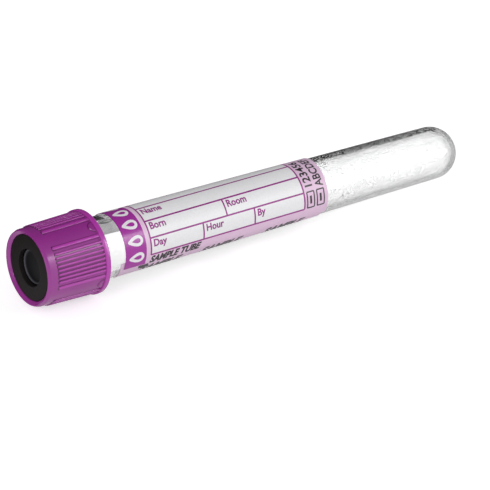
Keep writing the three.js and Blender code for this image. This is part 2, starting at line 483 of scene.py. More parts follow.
def moulded_skin() -> bpy.types.NodeTree:
    """Makes the skin of a moulded piece: slow flow marks, fine grain, and roughness that wanders
    with the flow.

    Returns:
        A group that puts out a shade mask, a roughness and a normal.
    """
    inputs = {
        "Flow Scale": ("Float", 90.0),
        "Grain Scale": ("Float", 5200.0),
        "Grain Height": ("Float", 0.12),
        "Roughness": ("Float", 0.3),
        "Roughness Spread": ("Float", 0.06),
    }
    outputs = {"Shade": "Float", "Roughness": "Float", "Normal": "Vector"}
    group, sketch, given, result = new_tree("Moulded skin", TreeKind.SHADER, inputs, outputs)
    where = sketch.here()
    flow = sketch.noise(where, given.outputs["Flow Scale"], 2.0)
    grain = sketch.noise(where, given.outputs["Grain Scale"], 3.0, 0.6)
    wear_and_painted_highlight = sketch.math("MULTIPLY_ADD", sketch.math("SUBTRACT", flow, 0.5),
                       given.outputs["Roughness Spread"], given.outputs["Roughness"])
    sketch.fill(result, {
        "Shade": sketch.ramp(flow, 0.3, 0.7), "Roughness": wear_and_painted_highlight,
        "Normal": sketch.bump(grain, GRAIN_DEPTH, given.outputs["Grain Height"])})
    return group


class Effects:
    """The shader groups that several finishes use, each made once."""

    def __init__(self) -> None:
        """Makes the groups."""
        self.skin = moulded_skin()


# ---------------------------------------------------------------- finishes


def blank_material(name: str) -> tuple[bpy.types.Material, Sketch, bpy.types.Node, bpy.types.Node]:
    """Starts a material.

    Args:
        name: The material's name.

    Returns:
        The material, a sketch of its tree, its shader and its output node.
    """
    material = bpy.data.materials.new(name)
    material.use_nodes = True
    tree = material.node_tree
    tree.nodes.clear()
    sketch = Sketch(tree)
    shader = sketch.node("ShaderNodeBsdfPrincipled")
    output = sketch.node("ShaderNodeOutputMaterial", {"Surface": shader.outputs["BSDF"]})
    return material, sketch, shader, output


def sheet_place(sketch: Sketch) -> tuple[bpy.types.NodeSocket, bpy.types.NodeSocket]:
    """Reads where a point lies along and across the flat sheet, before it was rolled.

    Args:
        sketch: The material's tree.

    Returns:
        The place along and the place across.
    """
    flat = sketch.node("ShaderNodeAttribute", attribute_name="sheet").outputs["Vector"]
    split = sketch.node("ShaderNodeSeparateXYZ", {0: flat}).outputs
    return split["X"], split["Y"]


@dataclass(frozen=True)
class MouldedPlastic:
    """A moulded plastic or rubber, with flow marks, fine grain, and painted shade and painted
    highlights where its piece's relief marks them.

    Args:
        name: The material's name.
        colour: Its main colour.
        deep: The colour of its flow marks.
        roughness: How matt it is.
        spread: How far the roughness wanders.
        grain: How strongly its grain stands out.
        gloss: The shader's specular level.
        tint: The colour of its plain reflections.
        hollow_shade: The share of its colour that its deepest hollows keep, by the piece's relief:
            painted shade.
        crest: The share of its colour that its crests show, by the piece's relief: a painted
            highlight.
    """

    name: str
    colour: Colour
    deep: Colour
    roughness: float = 0.3
    spread: float = 0.06
    grain: float = 0.12
    gloss: float = 0.5
    tint: Colour = (1.0, 1.0, 1.0)
    hollow_shade: float = 1.0
    crest: float = 1.0

    def build(self, effects: Effects) -> bpy.types.Material:
        """Makes the material.

        Args:
            effects: The shared groups.

        Returns:
            The material.
        """
        material, sketch, shader, _ = blank_material(self.name)
        skin = sketch.node("ShaderNodeGroup", node_tree=effects.skin)
        sketch.fill(skin, {"Roughness": self.roughness, "Roughness Spread": self.spread,
                           "Grain Height": self.grain})
        shade = sketch.mix(skin.outputs["Shade"], self.deep, self.colour)
        # painted shade darkens the relief's hollows, and a painted highlight lightens its crests
        if self.hollow_shade < 1 or self.crest > 1:
            mark = sketch.node("ShaderNodeAttribute", attribute_name="relief").outputs["Fac"]
            kept = sketch.math("MULTIPLY", sketch.ramp(mark, -0.9, -0.05, self.hollow_shade, 1.0),
                               sketch.ramp(mark, 0.0, 1.0, 1.0, self.crest))
            shade = sketch.scaled(shade, kept)
        sketch.fill(shader, {
            "Base Color": shade, "Roughness": skin.outputs["Roughness"],
            "Normal": skin.outputs["Normal"], "Specular IOR Level": self.gloss,
            "Specular Tint": (*self.tint, 1.0)})
        return material


@dataclass(frozen=True)
class ClearPlastic:
    """The tube's clear plastic, with the faint waviness that drawing leaves.

    Args:
        name: The material's name.
        colour: The colour that passes through one surface.
        index: The plastic's refractive index.
        wave: How strongly the surface waves.
        wave_scale: How close the waves are.
        wave_depth: How deep they are, in metres.
        beaded: Whether they stand apart as beads on a smooth surface.
        bead_edge: Between which heights of the waves a bead rises.
        haze: The roughness of the haziest places.
        passing: The share of the lamps' light that passes straight on.
    """

    name: str
    colour: Colour = (0.995, 0.997, 0.998)
    index: float = 1.57
    wave: float = 0.05
    wave_scale: float = 900.0
    wave_depth: float = 0.00005
    beaded: bool = False
    bead_edge: tuple[float, float] = (0.5, 0.62)
    haze: float = 0.02
    passing: float = 0.95

    def build(self) -> bpy.types.Material:
        """Makes the material, which lets light through to what lies behind it.

        Returns:
            The material.
        """
        material, sketch, shader, output = blank_material(self.name)
        where = sketch.here()
        waves = sketch.noise(where, self.wave_scale, 2.0)
        if self.beaded:
            waves = sketch.ramp(waves, *self.bead_edge)
        haze = sketch.noise(where, self.wave_scale / 3)
        sketch.fill(shader, {
            "Base Color": (*self.colour, 1.0), "IOR": self.index, "Transmission Weight": 1.0,
            "Roughness": sketch.ramp(haze, 0.35, 0.75, 0.0, self.haze),
            "Normal": sketch.bump(waves, self.wave_depth, self.wave)})
        light = sketch.node("ShaderNodeLightPath").outputs
        through = sketch.node("ShaderNodeBsdfTransparent", {"Color": (*(self.passing,) * 3, 1.0)})
        passing = sketch.node("ShaderNodeMixShader", {
            0: sketch.math("MAXIMUM", light["Is Shadow Ray"], light["Is Diffuse Ray"]),
            1: shader.outputs["BSDF"],
            2: through.outputs["BSDF"],
        })
        sketch.feed(output.inputs["Surface"], passing.outputs["Shader"])
        return material


@dataclass(frozen=True)
class PrintedFilm:
    """The label's face: white film with a strong band and pale fields, by the flat sheet's places.

    Args:
        name: The material's name.
        white: The bare film.
        band: The strong band beside the cap.
        pale: The pale fields round the writing area.
        band_end: Where the band ends, along the sheet.
        gap_end: Where the pale strip beside the band ends.
        right_field: Where the pale field at the far end begins.
        lower_field: Where the pale field below the writing area begins, across the sheet.
        window: Where the bare clear strip lies beside the cap, across the sheet.
        window_slope: How fast its under edge drifts along the sheet, to run true with the tube.
        window_cover: How much the bare strip hides.
        fibre_scale: How close the film's fibres are.
        fibre_depth: How deep they are, in metres.
        fibre_relief: How strongly they stand out.
        creep: How far the fibres fray a field's edge.
        matt: The roughness between which the film wanders.
        band_polish: How much smoother the strong band is.
    """

    name: str
    white: Colour = (0.83, 0.83, 0.845)
    band: Colour = (0.37, 0.03, 0.34)
    pale: Colour = (0.77, 0.55, 0.73)
    band_end: float = 4.9
    gap_end: float = 6.0
    right_field: float = 43.2
    lower_field: float = 1.65
    window: tuple[float, float] = (-32.0, -19.7)
    window_slope: float = 0.054
    window_cover: float = 0.03
    fibre_scale: float = 2600.0
    fibre_depth: float = 0.00001
    fibre_relief: float = 0.15
    creep: float = 0.12
    matt: tuple[float, float] = (0.36, 0.44)
    band_polish: float = 0.18

    def window_masks(self, sketch: Sketch, along: Any,
                     across: Any) -> tuple[bpy.types.NodeSocket, bpy.types.NodeSocket]:
        """Tells the printed film on the two sides of the bare strip.

        Args:
            sketch: The material's tree.
            along: The place along the sheet.
            across: The place across it.

        Returns:
            A mask of the film under the strip, and one of the film above it.
        """
        edge = sketch.math("MULTIPLY_ADD", along, self.window_slope, self.window[0])
        under = sketch.math("LESS_THAN", across, edge)
        return under, sketch.math("GREATER_THAN", across, self.window[1])

    def build(self) -> bpy.types.Material:
        """Makes the material from the places kept in the attribute of the sheet.

        Returns:
            The material.
        """
        material, sketch, shader, _ = blank_material(self.name)
        along, across = sheet_place(sketch)
        where = sketch.here()
        fibre = sketch.noise(where, self.fibre_scale, 4.0, 0.65)
        edge = sketch.math("MULTIPLY", sketch.math("SUBTRACT", fibre, 0.5), self.creep)
        crept = sketch.math("ADD", along, edge)
        low = sketch.math("ADD", across, edge)
        in_lower = sketch.math("GREATER_THAN", low, self.lower_field)
        in_right = sketch.math("GREATER_THAN", crept, self.right_field)
        in_under, over = self.window_masks(sketch, along, low)
        in_gap = sketch.math("LESS_THAN", crept, self.gap_end)
        pale = sketch.math("MAXIMUM", sketch.math("MAXIMUM", in_lower, in_right),
                           sketch.math("MAXIMUM", in_under, in_gap))
        in_band = sketch.math("MULTIPLY", sketch.math("LESS_THAN", crept, self.band_end), over)
        printed = sketch.math("MAXIMUM", in_under, over)
        mottle = sketch.ramp(fibre, 0.25, 0.75, 0.93, 1.0)
        fields = sketch.mix(in_band, sketch.mix(pale, self.white, self.pale), self.band)
        matt = sketch.math("MULTIPLY_ADD", in_band, -self.band_polish,
                           sketch.ramp(fibre, 0.3, 0.7, *self.matt))
        sketch.fill(shader, {
            "Base Color": sketch.scaled(fields, mottle), "Roughness": matt,
            "Alpha": sketch.math("MAXIMUM", printed, self.window_cover),
            "Normal": sketch.bump(fibre, self.fibre_depth, self.fibre_relief)})
        return material


@dataclass(frozen=True)
class AdhesiveBack:
    """The label's back, seen through the clear wall: thin film under uneven adhesive.

    Args:
        name: The material's name.
        thin: Where the adhesive is thin.
        thick: Where it is thick.
        band: The back of the strong band.
        passing: How much of the light goes into the film, to come out at either side.
        depth: How far it goes, in metres.
        blotch_scale: How close the blotches of the adhesive are.
        front: The film's face, which has the places of its fields.
    """

    name: str
    thin: Colour = (0.95, 0.93, 0.94)
    thick: Colour = (0.84, 0.80, 0.83)
    band: Colour = (0.74, 0.58, 0.70)
    passing: float = 0.9
    depth: float = 0.003
    blotch_scale: float = 700.0
    front: PrintedFilm = PrintedFilm("Printed label film")

    def build(self) -> bpy.types.Material:
        """Makes the material.

        Returns:
            The material.
        """
        material, sketch, shader, _ = blank_material(self.name)
        where = sketch.here()
        blotch = sketch.noise(where, self.blotch_scale, 5.0, 0.6)
        along, across = sheet_place(sketch)
        under, over = self.front.window_masks(sketch, along, across)
        printed = sketch.math("MAXIMUM", under, over)
        in_band = sketch.math("MULTIPLY", over,
                              sketch.math("LESS_THAN", along, self.front.band_end))
        shade = sketch.mix(sketch.ramp(blotch, 0.35, 0.65), self.thick, self.thin)
        tinted = sketch.math("MULTIPLY", in_band, sketch.ramp(blotch, 0.3, 0.6, 1.0, 0.45))
        shade = sketch.mix(tinted, shade, self.band)
        sketch.fill(shader, {
            "Base Color": shade, "Roughness": sketch.ramp(blotch, 0.3, 0.7, 0.45, 0.7),
            "Alpha": sketch.math("MAXIMUM", printed, self.front.window_cover),
            "Subsurface Weight": self.passing, "Subsurface Radius": (1.0, 1.0, 1.0),
            "Subsurface Scale": self.depth})
        return material


@dataclass(frozen=True)
class PrintInk:
    """Ink on the label, a little thinner here and there.

    Args:
        name: The material's name.
        colour: Full ink.
        thin: Thin ink.
        roughness: How matt it is.
        spread: How far the roughness wanders to either side.
        speckle_scale: How close the thin places are.
    """

    name: str
    colour: Colour
    thin: Colour
    roughness: float = 0.4
    spread: float = 0.05
    speckle_scale: float = 5.0

    def build(self) -> bpy.types.Material:
        """Makes the material.

        Returns:
            The material.
        """
        material, sketch, shader, _ = blank_material(self.name)
        flat = sketch.node("ShaderNodeAttribute", attribute_name="sheet")
        speckle = sketch.noise(flat.outputs["Vector"], self.speckle_scale, 4.0, 0.6)
        rough = sketch.ramp(speckle, 0.3, 0.7, self.roughness + self.spread,
                            self.roughness - self.spread)
        shade = sketch.mix(sketch.ramp(speckle, 0.4, 0.62), self.thin, self.colour)
        sketch.fill(shader, {"Base Color": shade, "Roughness": rough})
        return material


class Ink(Enum):
    """The label's inks."""

    PURPLE = "purple"
    BLACK = "black"
    WHITE = "white"

    @property
    def finish(self) -> PrintInk:
        """Gives the ink's finish.

        Returns:
            The finish, whose colours are those of this ink.
        """
        return {
            Ink.PURPLE: PrintInk("Purple ink", (0.21, 0.006, 0.165), (0.34, 0.015, 0.27)),
            Ink.BLACK: PrintInk("Black ink", (0.010, 0.009, 0.010), (0.03, 0.027, 0.03)),
            Ink.WHITE: PrintInk("White ink", (0.83, 0.82, 0.85), (0.78, 0.74, 0.79)),
        }[self]


# ---------------------------------------------------------------- clear tube


@dataclass
class ClearTube:
    """The clear round-bottomed tube, with the four thread ribs on its neck."""

    length: float = 99.9
    wall: float = 1.0
    lip_rounding: float = 0.35
    neck_length: float = 5.0  # of the closely stepped neck, which has the thread
    neck_step: float = 0.1
    body_step: float = 3.0
    bore_start: float = 2.0  # the bore's first station, from the lip
    columns: int = 216
    dome_steps: int = 26
    thread_starts: int = 4
    thread_height: float = 0.4
    thread_half_width: float = 0.45
    thread_flank: float = 0.22
    thread_middle: float = 2.6  # from the mouth
    thread_half_span: float = math.radians(30)
    thread_end: float = math.radians(5)  # the fading of each end
    finish: ClearPlastic = ClearPlastic("Clear moulded plastic")
    sprayed: ClearPlastic = ClearPlastic("Clear plastic under dried additive", wave=0.9,
                                         wave_scale=3000.0, beaded=True)
    sprayed_from: float = 60.0  # station

    @property
    def dome_radius(self) -> float:
        """Gives the round end's outer radius."""
        return (TAPER.mouth_radius - TAPER.slope * self.length) / (1 - TAPER.slope)

    @property
    def dome_x(self) -> float:
        """Gives the station of the round end's centre."""
        return TAPER.mouth_x + self.length - self.dome_radius

    def inner_radius(self, x: float) -> float:
        """Gives the bore's radius at a station."""
        return TAPER.radius(x) - self.wall

    def dome(self, radius: float, outwards: bool) -> np.ndarray:
        """Gives the outline of a round end.

        Args:
            radius: Its radius.
            outwards: Whether it runs from the axis outwards.

        Returns:
            Rows of x and radius.
        """
        angles = np.linspace(math.pi / 2, 0, self.dome_steps)
        rows = np.stack([self.dome_x + radius * np.sin(angles), radius * np.cos(angles)], axis=1)
        rows[0, 1] = 0.0
        return rows if outwards else rows[::-1]

    def outline(self) -> np.ndarray:
        """Gives the whole outline, from the outer tip round the lip to the inner tip.

        Returns:
            Rows of x and radius.
        """
        mouth = TAPER.mouth_x
        lip = mouth + self.lip_rounding
        neck_end = mouth + self.neck_length
        neck = np.arange(neck_end, lip, -self.neck_step)
        body = np.arange(self.dome_x - self.body_step, neck_end, -self.body_step)
        outside = [(x, TAPER.radius(x)) for x in (*body, *neck)]
        edge = eased([
            (lip, TAPER.radius(lip), 0),
            (mouth, TAPER.mouth_radius, self.lip_rounding),
            (mouth, self.inner_radius(mouth), self.lip_rounding),
            (lip, self.inner_radius(lip), 0),
        ], closed=False)
        inside = [(x, self.inner_radius(x)) for x in (lip + self.bore_start, *body[::-1])]
        return np.vstack([
            self.dome(self.dome_radius, True), outside, edge, inside,
            self.dome(self.dome_radius - self.wall, False),
        ])

    def thread(self, x: np.ndarray, angle: np.ndarray) -> np.ndarray:
        """Gives how far the thread ribs stand above the neck.

        Args:
            x: Stations.
            angle: Angles, of the same shape.

        Returns:
            Heights, of the same shape.
        """
        height = np.zeros_like(x)
        for i in range(self.thread_starts):
            middle = i * 2 * math.pi / self.thread_starts
            off = (angle - middle + math.pi) % (2 * math.pi) - math.pi
            line = TAPER.mouth_x + self.thread_middle + THREAD_LEAD * off / (2 * math.pi)
            side = np.clip((self.thread_half_width - abs(x - line)) / self.thread_flank, 0, 1)
            end = np.clip((self.thread_half_span - abs(off)) / self.thread_end, 0, 1)
            rise = side * side * (3 - 2 * side) * end * end * (3 - 2 * end)
            height = np.maximum(height, self.thread_height * rise)
        return height

    def build(self, axis: TubeAxis) -> bpy.types.Object:
        """Makes the tube.

        Args:
            axis: Where the tube lies.

        Returns:
            The dressed piece.
        """
        rows = self.outline()
        angles = np.linspace(0, 2 * math.pi, self.columns, endpoint=False)
        x, angle = np.broadcast_arrays(rows[:, :1], angles[None, :])
        outer = rows[:, 1:] > TAPER.radius(rows[:, :1]) - self.wall / 4
        radius = rows[:, 1:] + self.thread(x, angle) * outer
        mesh = mesh_of("tube", around(x, radius, angle),
                       grid_faces(len(rows), self.columns, False, True))
        inner = np.repeat(~outer[1:, 0] & (rows[1:, 0] > self.sprayed_from), self.columns)
        mesh.polygons.foreach_set("material_index", inner.astype(np.int32))
        mesh = cleaned(mesh, 50.0)
        for finish in (self.finish, self.sprayed):
            mesh.materials.append(finish.build())
        piece = stood(mesh, "clear_tube", axis)
        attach(piece, "tube_body")
        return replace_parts(piece, "tube")


@dataclass
class AdditiveDroplets:
    """Dried droplets of the additive that was sprayed on the tube's inner wall."""

    start_x: float = 62.0
    end_x: float = 97.0
    density: float = 0.035  # droplets for each square millimetre
    largest: float = 0.2
    smallest: float = 0.09
    flatness: float = 0.35
    clearance: float = 0.02  # between the largest droplet and the tube's wall
    seed: int = 11
    rows: int = 12  # of the wall that they are scattered over
    columns: int = 64
    finish: ClearPlastic = ClearPlastic("Dried additive", (0.3, 0.3, 0.32), 1.45, 0.3, 4000.0)

    def tree(self) -> bpy.types.NodeTree:
        """Makes the tree that scatters flattened droplets over a wall.

        Returns:
            The tree, with an input for each of the droplets' sizes.
        """
        sizes = {"Density": "Float", "Smallest": "Float", "Largest": "Float",
                 "Flatness": "Float", "Seed": "Int", "Material": "Material"}
        tree, sketch, given, result = mesh_tree("Scatter droplets", sizes)
        spread = sketch.node("GeometryNodeDistributePointsOnFaces", {
            "Mesh": given.outputs["Geometry"], "Density": given.outputs["Density"],
            "Seed": given.outputs["Seed"]})
        ball = sketch.node("GeometryNodeMeshIcoSphere", {"Radius": 1.0, "Subdivisions": 2})
        size = sketch.node("FunctionNodeRandomValue", data_type="FLOAT")
        for limit, label in zip(of_kind(size.inputs, "VALUE"), ("Smallest", "Largest")):
            sketch.feed(limit, given.outputs[label])
        sketch.feed(size.inputs["Seed"], given.outputs["Seed"])
        drawn = of_kind(size.outputs, "VALUE")[0]
        flat = sketch.math("MULTIPLY", drawn, given.outputs["Flatness"])
        scale = sketch.node("ShaderNodeCombineXYZ", {0: drawn, 1: drawn, 2: flat})
        placed = sketch.node("GeometryNodeInstanceOnPoints", {
            "Points": spread.outputs["Points"], "Instance": ball.outputs["Mesh"],
            "Rotation": spread.outputs["Rotation"], "Scale": scale.outputs[0]})
        real = sketch.node("GeometryNodeRealizeInstances", {0: placed.outputs["Instances"]})
        dressed = sketch.dressed(real.outputs[0], given.outputs["Material"])
        sketch.feed(result.inputs[0], dressed)
        return tree

    def build(self, axis: TubeAxis, tube: ClearTube) -> bpy.types.Object:
        """Makes the droplets.

        Args:
            axis: Where the tube lies.
            tube: The tube that holds them.

        Returns:
            The dressed piece.
        """
        x = np.linspace(self.start_x, self.end_x, self.rows)[:, None]
        reach = self.largest * self.flatness + self.clearance
        radius = TAPER.radius(x) - tube.wall - reach
        angles = np.linspace(0, 2 * math.pi, self.columns, endpoint=False)
        wall = mesh_of("wall", around(x, radius, angles[None, :]),
                       grid_faces(self.rows, self.columns, False, True))
        mesh = grown(wall, self.tree(), {
            "Density": self.density, "Smallest": self.smallest, "Largest": self.largest,
            "Flatness": self.flatness, "Seed": self.seed,
            "Material": self.finish.build()}, "droplets")
        piece = stood(cleaned(mesh, 80.0), "additive_droplets", axis)
        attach(piece, "tube_body")
        return piece


# ---------------------------------------------------------------- label


@dataclass(frozen=True)
class SheetRule:
    """How the flat label is rolled on the tube: the same rule lays the film and its print.

    Args:
        start_x: The station of the sheet's edge beside the cap.
        length: The sheet's length along the tube.
        thickness: The film's thickness.
        gap: The space under the film, and between its layers.
        aligned: The angle at which the printing runs true with the tube.
        cut: The angle at which the sheet's own edges do.
        top_end: The angle of its outer end.
        overlap: How far that end covers the other.
    """

    start_x: float = 18.8
    length: float = 49.0
    thickness: float = 0.1
    gap: float = 0.05
    aligned: float = math.radians(82)
    cut: float = math.radians(45)
    top_end: float = math.radians(115)
    overlap: float = math.radians(15)

    @property
    def reach(self) -> float:
        """Gives the distance from the cone's point to the sheet's edge."""
        return (TAPER.apex_x - self.start_x) / math.cos(TAPER.half_angle)

    @property
    def under_end(self) -> float:
        """Gives the angle of the sheet's under end, from the line where the printing runs true."""
        return self.top_end - self.aligned - 2 * math.pi - self.overlap

    def sheet(self, rows: int, columns: int) -> np.ndarray:
        """Gives the cut sheet's places in the printing's frame.

        Args:
            rows: Places along it.
            columns: Places across it.

        Returns:
            An array of places along and across, of rows by columns.
        """
        thin = math.sin(TAPER.half_angle)
        top = self.top_end - self.cut
        across = np.linspace(top - 2 * math.pi - self.overlap, top, columns) * self.reach * thin
        along, across = np.meshgrid(np.linspace(0, self.length, rows), across, indexing="ij")
        far = np.hypot(self.reach - along, across)
        wide = np.arctan2(across, self.reach - along) + (self.cut - self.aligned) * thin
        return np.stack([self.reach - far * np.cos(wide), far * np.sin(wide)], axis=-1)

    def at(self, along: float, angle: float) -> tuple[float, float]:
        """Gives the flat place that ends up at a distance along and a true angle round the tube.

        Args:
            along: Distance from the edge beside the cap.
            angle: Angle from the line where the printing runs true, in radians.

        Returns:
            The place along and across the flat sheet.
        """
        wide = angle * math.sin(TAPER.half_angle)
        far = self.reach - along
        return self.reach - far * math.cos(wide), far * math.sin(wide)

    def tree(self) -> bpy.types.NodeTree:
        """Makes the tree that rolls flat print or film on the cone.

        Returns:
            The tree, with an input for each size of the cone and the sheet.
        """
        sizes = {"Reach": "Float", "Half Angle": "Float", "Apex": "Float", "Gap": "Float",
                 "Layer": "Float", "Under End": "Float", "Aligned": "Float",
                 "Radius Share": "Float", "Face Material": "Material",
                 "Back Material": "Material"}
        tree, sketch, given, result = mesh_tree("Roll on cone", sizes)
        size = given.outputs
        place = sketch.node("GeometryNodeInputPosition").outputs[0]
        kept = sketch.node("GeometryNodeStoreNamedAttribute", {
            "Geometry": size["Geometry"], "Name": "sheet"},
            data_type="FLOAT_VECTOR", domain="POINT")
        sketch.feed(of_kind(kept.inputs, "VECTOR", "Value")[0], place)
        flat = sketch.node("ShaderNodeSeparateXYZ", {0: place}).outputs
        along = sketch.math("SUBTRACT", size["Reach"], flat["X"])
        distance = sketch.math("SQRT", sketch.math(
            "ADD", sketch.math("MULTIPLY", along, along),
            sketch.math("MULTIPLY", flat["Y"], flat["Y"])))
        thin = sketch.math("SINE", size["Half Angle"])
        angle = sketch.math("DIVIDE", sketch.math("ARCTAN2", flat["Y"], along), thin)
        turns = sketch.math("DIVIDE", sketch.math("SUBTRACT", angle, size["Under End"]),
                            2 * math.pi)
        lift = sketch.math("MULTIPLY_ADD", turns, size["Layer"], size["Gap"])
        radius = sketch.math("MULTIPLY", size["Radius Share"], sketch.math(
            "ADD", sketch.math("MULTIPLY_ADD", distance, thin, lift), flat["Z"]))
        x = sketch.math("SUBTRACT", size["Apex"], sketch.math(
            "MULTIPLY", distance, sketch.math("COSINE", size["Half Angle"])))
        round_angle = sketch.math("ADD", angle, size["Aligned"])
        y = sketch.math("MULTIPLY", sketch.math("MULTIPLY", radius, -1.0),
                        sketch.math("SINE", round_angle))
        z = sketch.math("MULTIPLY", radius, sketch.math("COSINE", round_angle))
        rolled = sketch.node("ShaderNodeCombineXYZ", {0: x, 1: y, 2: z})
        moved = sketch.node("GeometryNodeSetPosition", {
            "Geometry": kept.outputs["Geometry"], "Position": rolled.outputs[0]})
        real = sketch.node("GeometryNodeRealizeInstances", {0: moved.outputs[0]})
        # the back faces are marked first, as a new material changes their material's number
        is_back = sketch.node("FunctionNodeCompare", data_type="INT", operation="EQUAL")
        number, wanted = of_kind(is_back.inputs, "INT")[:2]
        sketch.feed(number, sketch.node("GeometryNodeInputMaterialIndex").outputs[0])
        sketch.feed(wanted, 1)
        marked = sketch.node("GeometryNodeStoreNamedAttribute", {
            "Geometry": real.outputs[0], "Name": "back_face"},
            data_type="BOOLEAN", domain="FACE")
        sketch.feed(of_kind(marked.inputs, "BOOLEAN", "Value")[0], is_back.outputs[0])
        named = sketch.node("GeometryNodeInputNamedAttribute", {"Name": "back_face"},
                            data_type="BOOLEAN")
        faced = sketch.dressed(marked.outputs[0], size["Face Material"])
        mark = of_kind(named.outputs, "BOOLEAN", "Attribute")[0]
        sketch.feed(result.inputs[0], sketch.dressed(faced, size["Back Material"], mark))
        return tree

    def values(self, face: bpy.types.Material, back: bpy.types.Material) -> dict[str, Any]:
        """Gives the tree's inputs for two materials.

        Args:
            face: The material of the outer faces.
            back: The material of the back faces.

        Returns:
            Each input's value, by its name.
        """
        return {
            "Reach": self.reach, "Half Angle": TAPER.half_angle, "Apex": TAPER.apex_x,
            "Gap": self.gap, "Layer": self.thickness + self.gap,
            "Under End": self.under_end, "Aligned": self.aligned,
            "Radius Share": FLAT_SHARE, "Face Material": face, "Back Material": back,
        }


@dataclass(frozen=True)
class Lettering:
    """How words of one sort are written.

    Args:
        height: The height of their capitals.
        slant: How far they lean.
        bold: How much thicker their strokes are.
        length: How long each is made, where its natural length doesn't do.
    """

    height: float
    slant: float = 0.0
    bold: float = 0.0
    length: float | None = None


@dataclass(frozen=True)
class BarRow:
    """A row of slanted bars in the place of a word, the first of each three a little shorter.

    Args:
        along: Where the row begins and ends.
        angles: The true angles between which each bar runs, in degrees.
        count: How many bars.
        width: Each bar's width.
        lean: How far a bar leans along the sheet.
        shorter: The share of its height that a shorter bar lacks.
    """

    along: tuple[float, float] = (3.6, 5.9)
    angles: tuple[float, float] = (-323.0, -311.0)
    count: int = 4
    width: float = 0.6
    lean: float = 0.3
    shorter: float = 0.25


class FlatPrint:
    """Strokes and words of one ink, drawn as thin closed bars on the flat sheet."""

    longest_bend: float = 0.4  # the longest straight piece across the sheet
    halvings: int = 5  # of what is longer, at most
    merge: float = 1e-5
    capital_share: float = 0.70  # a capital's height, as a share of the letters' size
    curve_steps: int = 3  # pieces of each of a letter's curves

    def __init__(self, film: float, sunk: float = 0.03, proud: float = 0.018) -> None:
        """Starts with nothing printed.

        Args:
            film: The film's thickness.
            sunk: How far a bar reaches into the film, so that it never floats.
            proud: How far it stands above the film.
        """
        self.low, self.high = film - sunk, film + proud
        self.work = bmesh.new()

    def stroke(self, path: Sequence[tuple[float, float]], width: float,
               closed: bool = False, step: float = 0.5) -> None:
        """Draws a line.

        Args:
            path: Its corners, along and across the sheet.
            width: Its width.
            closed: Whether it ends where it begins.
            step: The longest piece of it.
        """
        corners = [np.array(p, float) for p in path]
        ends = corners + corners[:1] if closed else corners
        points = []
        for a, b in zip(ends, ends[1:]):
            count = max(1, math.ceil(np.linalg.norm(b - a) / step))
            points += [a + (b - a) * i / count for i in range(count)]
        if not closed:
            points.append(ends[-1])
        rings = []
        for i, here in enumerate(points):
            before = points[i - 1] if closed or i else here
            after = points[(i + 1) % len(points)] if closed or i + 1 < len(points) else here
            run = (after - before) / max(np.linalg.norm(after - before), 1e-9)
            out = np.array((-run[1], run[0])) * width / 2
            rings.append([self.work.verts.new((*(here + side * out), z))
                          for side, z in ((1, self.low), (-1, self.low), (-1, self.high),
                                          (1, self.high))])
        for a, b in zip(rings, rings[1:] + (rings[:1] if closed else [])):
            for k in range(4):
                self.work.faces.new((a[k], a[(k + 1) % 4], b[(k + 1) % 4], b[k]))
        if not closed:
            self.work.faces.new(rings[0])
            self.work.faces.new(rings[-1][::-1])

    def box(self, along: tuple[float, float], across: tuple[float, float], width: float) -> None:
        """Draws the outline of a rectangle.

        Args:
            along: Its two ends along the sheet.
            across: Its two ends across it.
            width: The line's width.
        """
        (a, b), (c, d) = along, across
        for path in (((a, c), (b, c)), ((b, c), (b, d)), ((b, d), (a, d)), ((a, d), (a, c))):
            self.stroke(path, width)

    def bars(self, row: BarRow, rule: SheetRule) -> None:
        """Draws a row of slanted bars.

        Args:
            row: The row's places and sizes.
            rule: How the sheet is rolled.
        """
        low, high = (math.radians(a) for a in row.angles)
        start, end = row.along
        for i in range(row.count):
            foot = start + (end - start) * (i + 0.5) / row.count
            top = high if i % 3 else high - (high - low) * row.shorter
            self.stroke([rule.at(foot, low), rule.at(foot + row.lean, top)], row.width)

    def word(self, text: str, place: tuple[float, float], style: Lettering,
             turn: float = 0.0) -> None:
        """Writes a word or number.

        Args:
            text: What it says.
            place: Where its lower left corner is, along and across the sheet.
            style: How it is written.
            turn: How far it is turned on the sheet, in radians.
        """
        curve = bpy.data.curves.new("word", "FONT")
        curve.body = text
        curve.size = style.height / self.capital_share
        curve.shear = style.slant
        curve.offset = style.bold
        curve.extrude = (self.high - self.low) / 2
        curve.resolution_u = self.curve_steps
        holder = bpy.data.objects.new("word", curve)
        bpy.context.scene.collection.objects.link(holder)
        graph = bpy.context.evaluated_depsgraph_get()
        mesh = bpy.data.meshes.new_from_object(holder.evaluated_get(graph))
        if style.length:
            longest = max(v.co.x for v in mesh.vertices)
            mesh.transform(Matrix.Scale(style.length / longest, 4, (1, 0, 0)))
        lifted = Matrix.Translation((*place, (self.low + self.high) / 2))
        # the sheet is read from outside, where across runs downwards
        mirrored = Matrix.Diagonal((1, -1, 1, 1))
        mesh.transform(lifted @ Matrix.Rotation(turn, 4, "Z") @ mirrored)
        self.work.from_mesh(mesh)
        bpy.data.objects.remove(holder)

    def mesh(self, name: str) -> bpy.types.Mesh:
        """Gives everything drawn as one flat mesh, fine enough to bend.

        Args:
            name: The mesh's name.

        Returns:
            The mesh. Nothing more can be drawn after it.
        """
        bmesh.ops.remove_doubles(self.work, verts=self.work.verts, dist=self.merge)
        bmesh.ops.triangulate(self.work, faces=[f for f in self.work.faces if len(f.verts) > 4])
        for _ in range(self.halvings):
            tall = [e for e in self.work.edges
                    if abs(e.verts[0].co.y - e.verts[1].co.y) > self.longest_bend]
            bmesh.ops.subdivide_edges(self.work, edges=tall, cuts=1)
            bmesh.ops.triangulate(self.work,
                                  faces=[f for f in self.work.faces if len(f.verts) > 4])
        made = bpy.data.meshes.new(name)
        self.work.to_mesh(made)
        self.work.free()
        return made


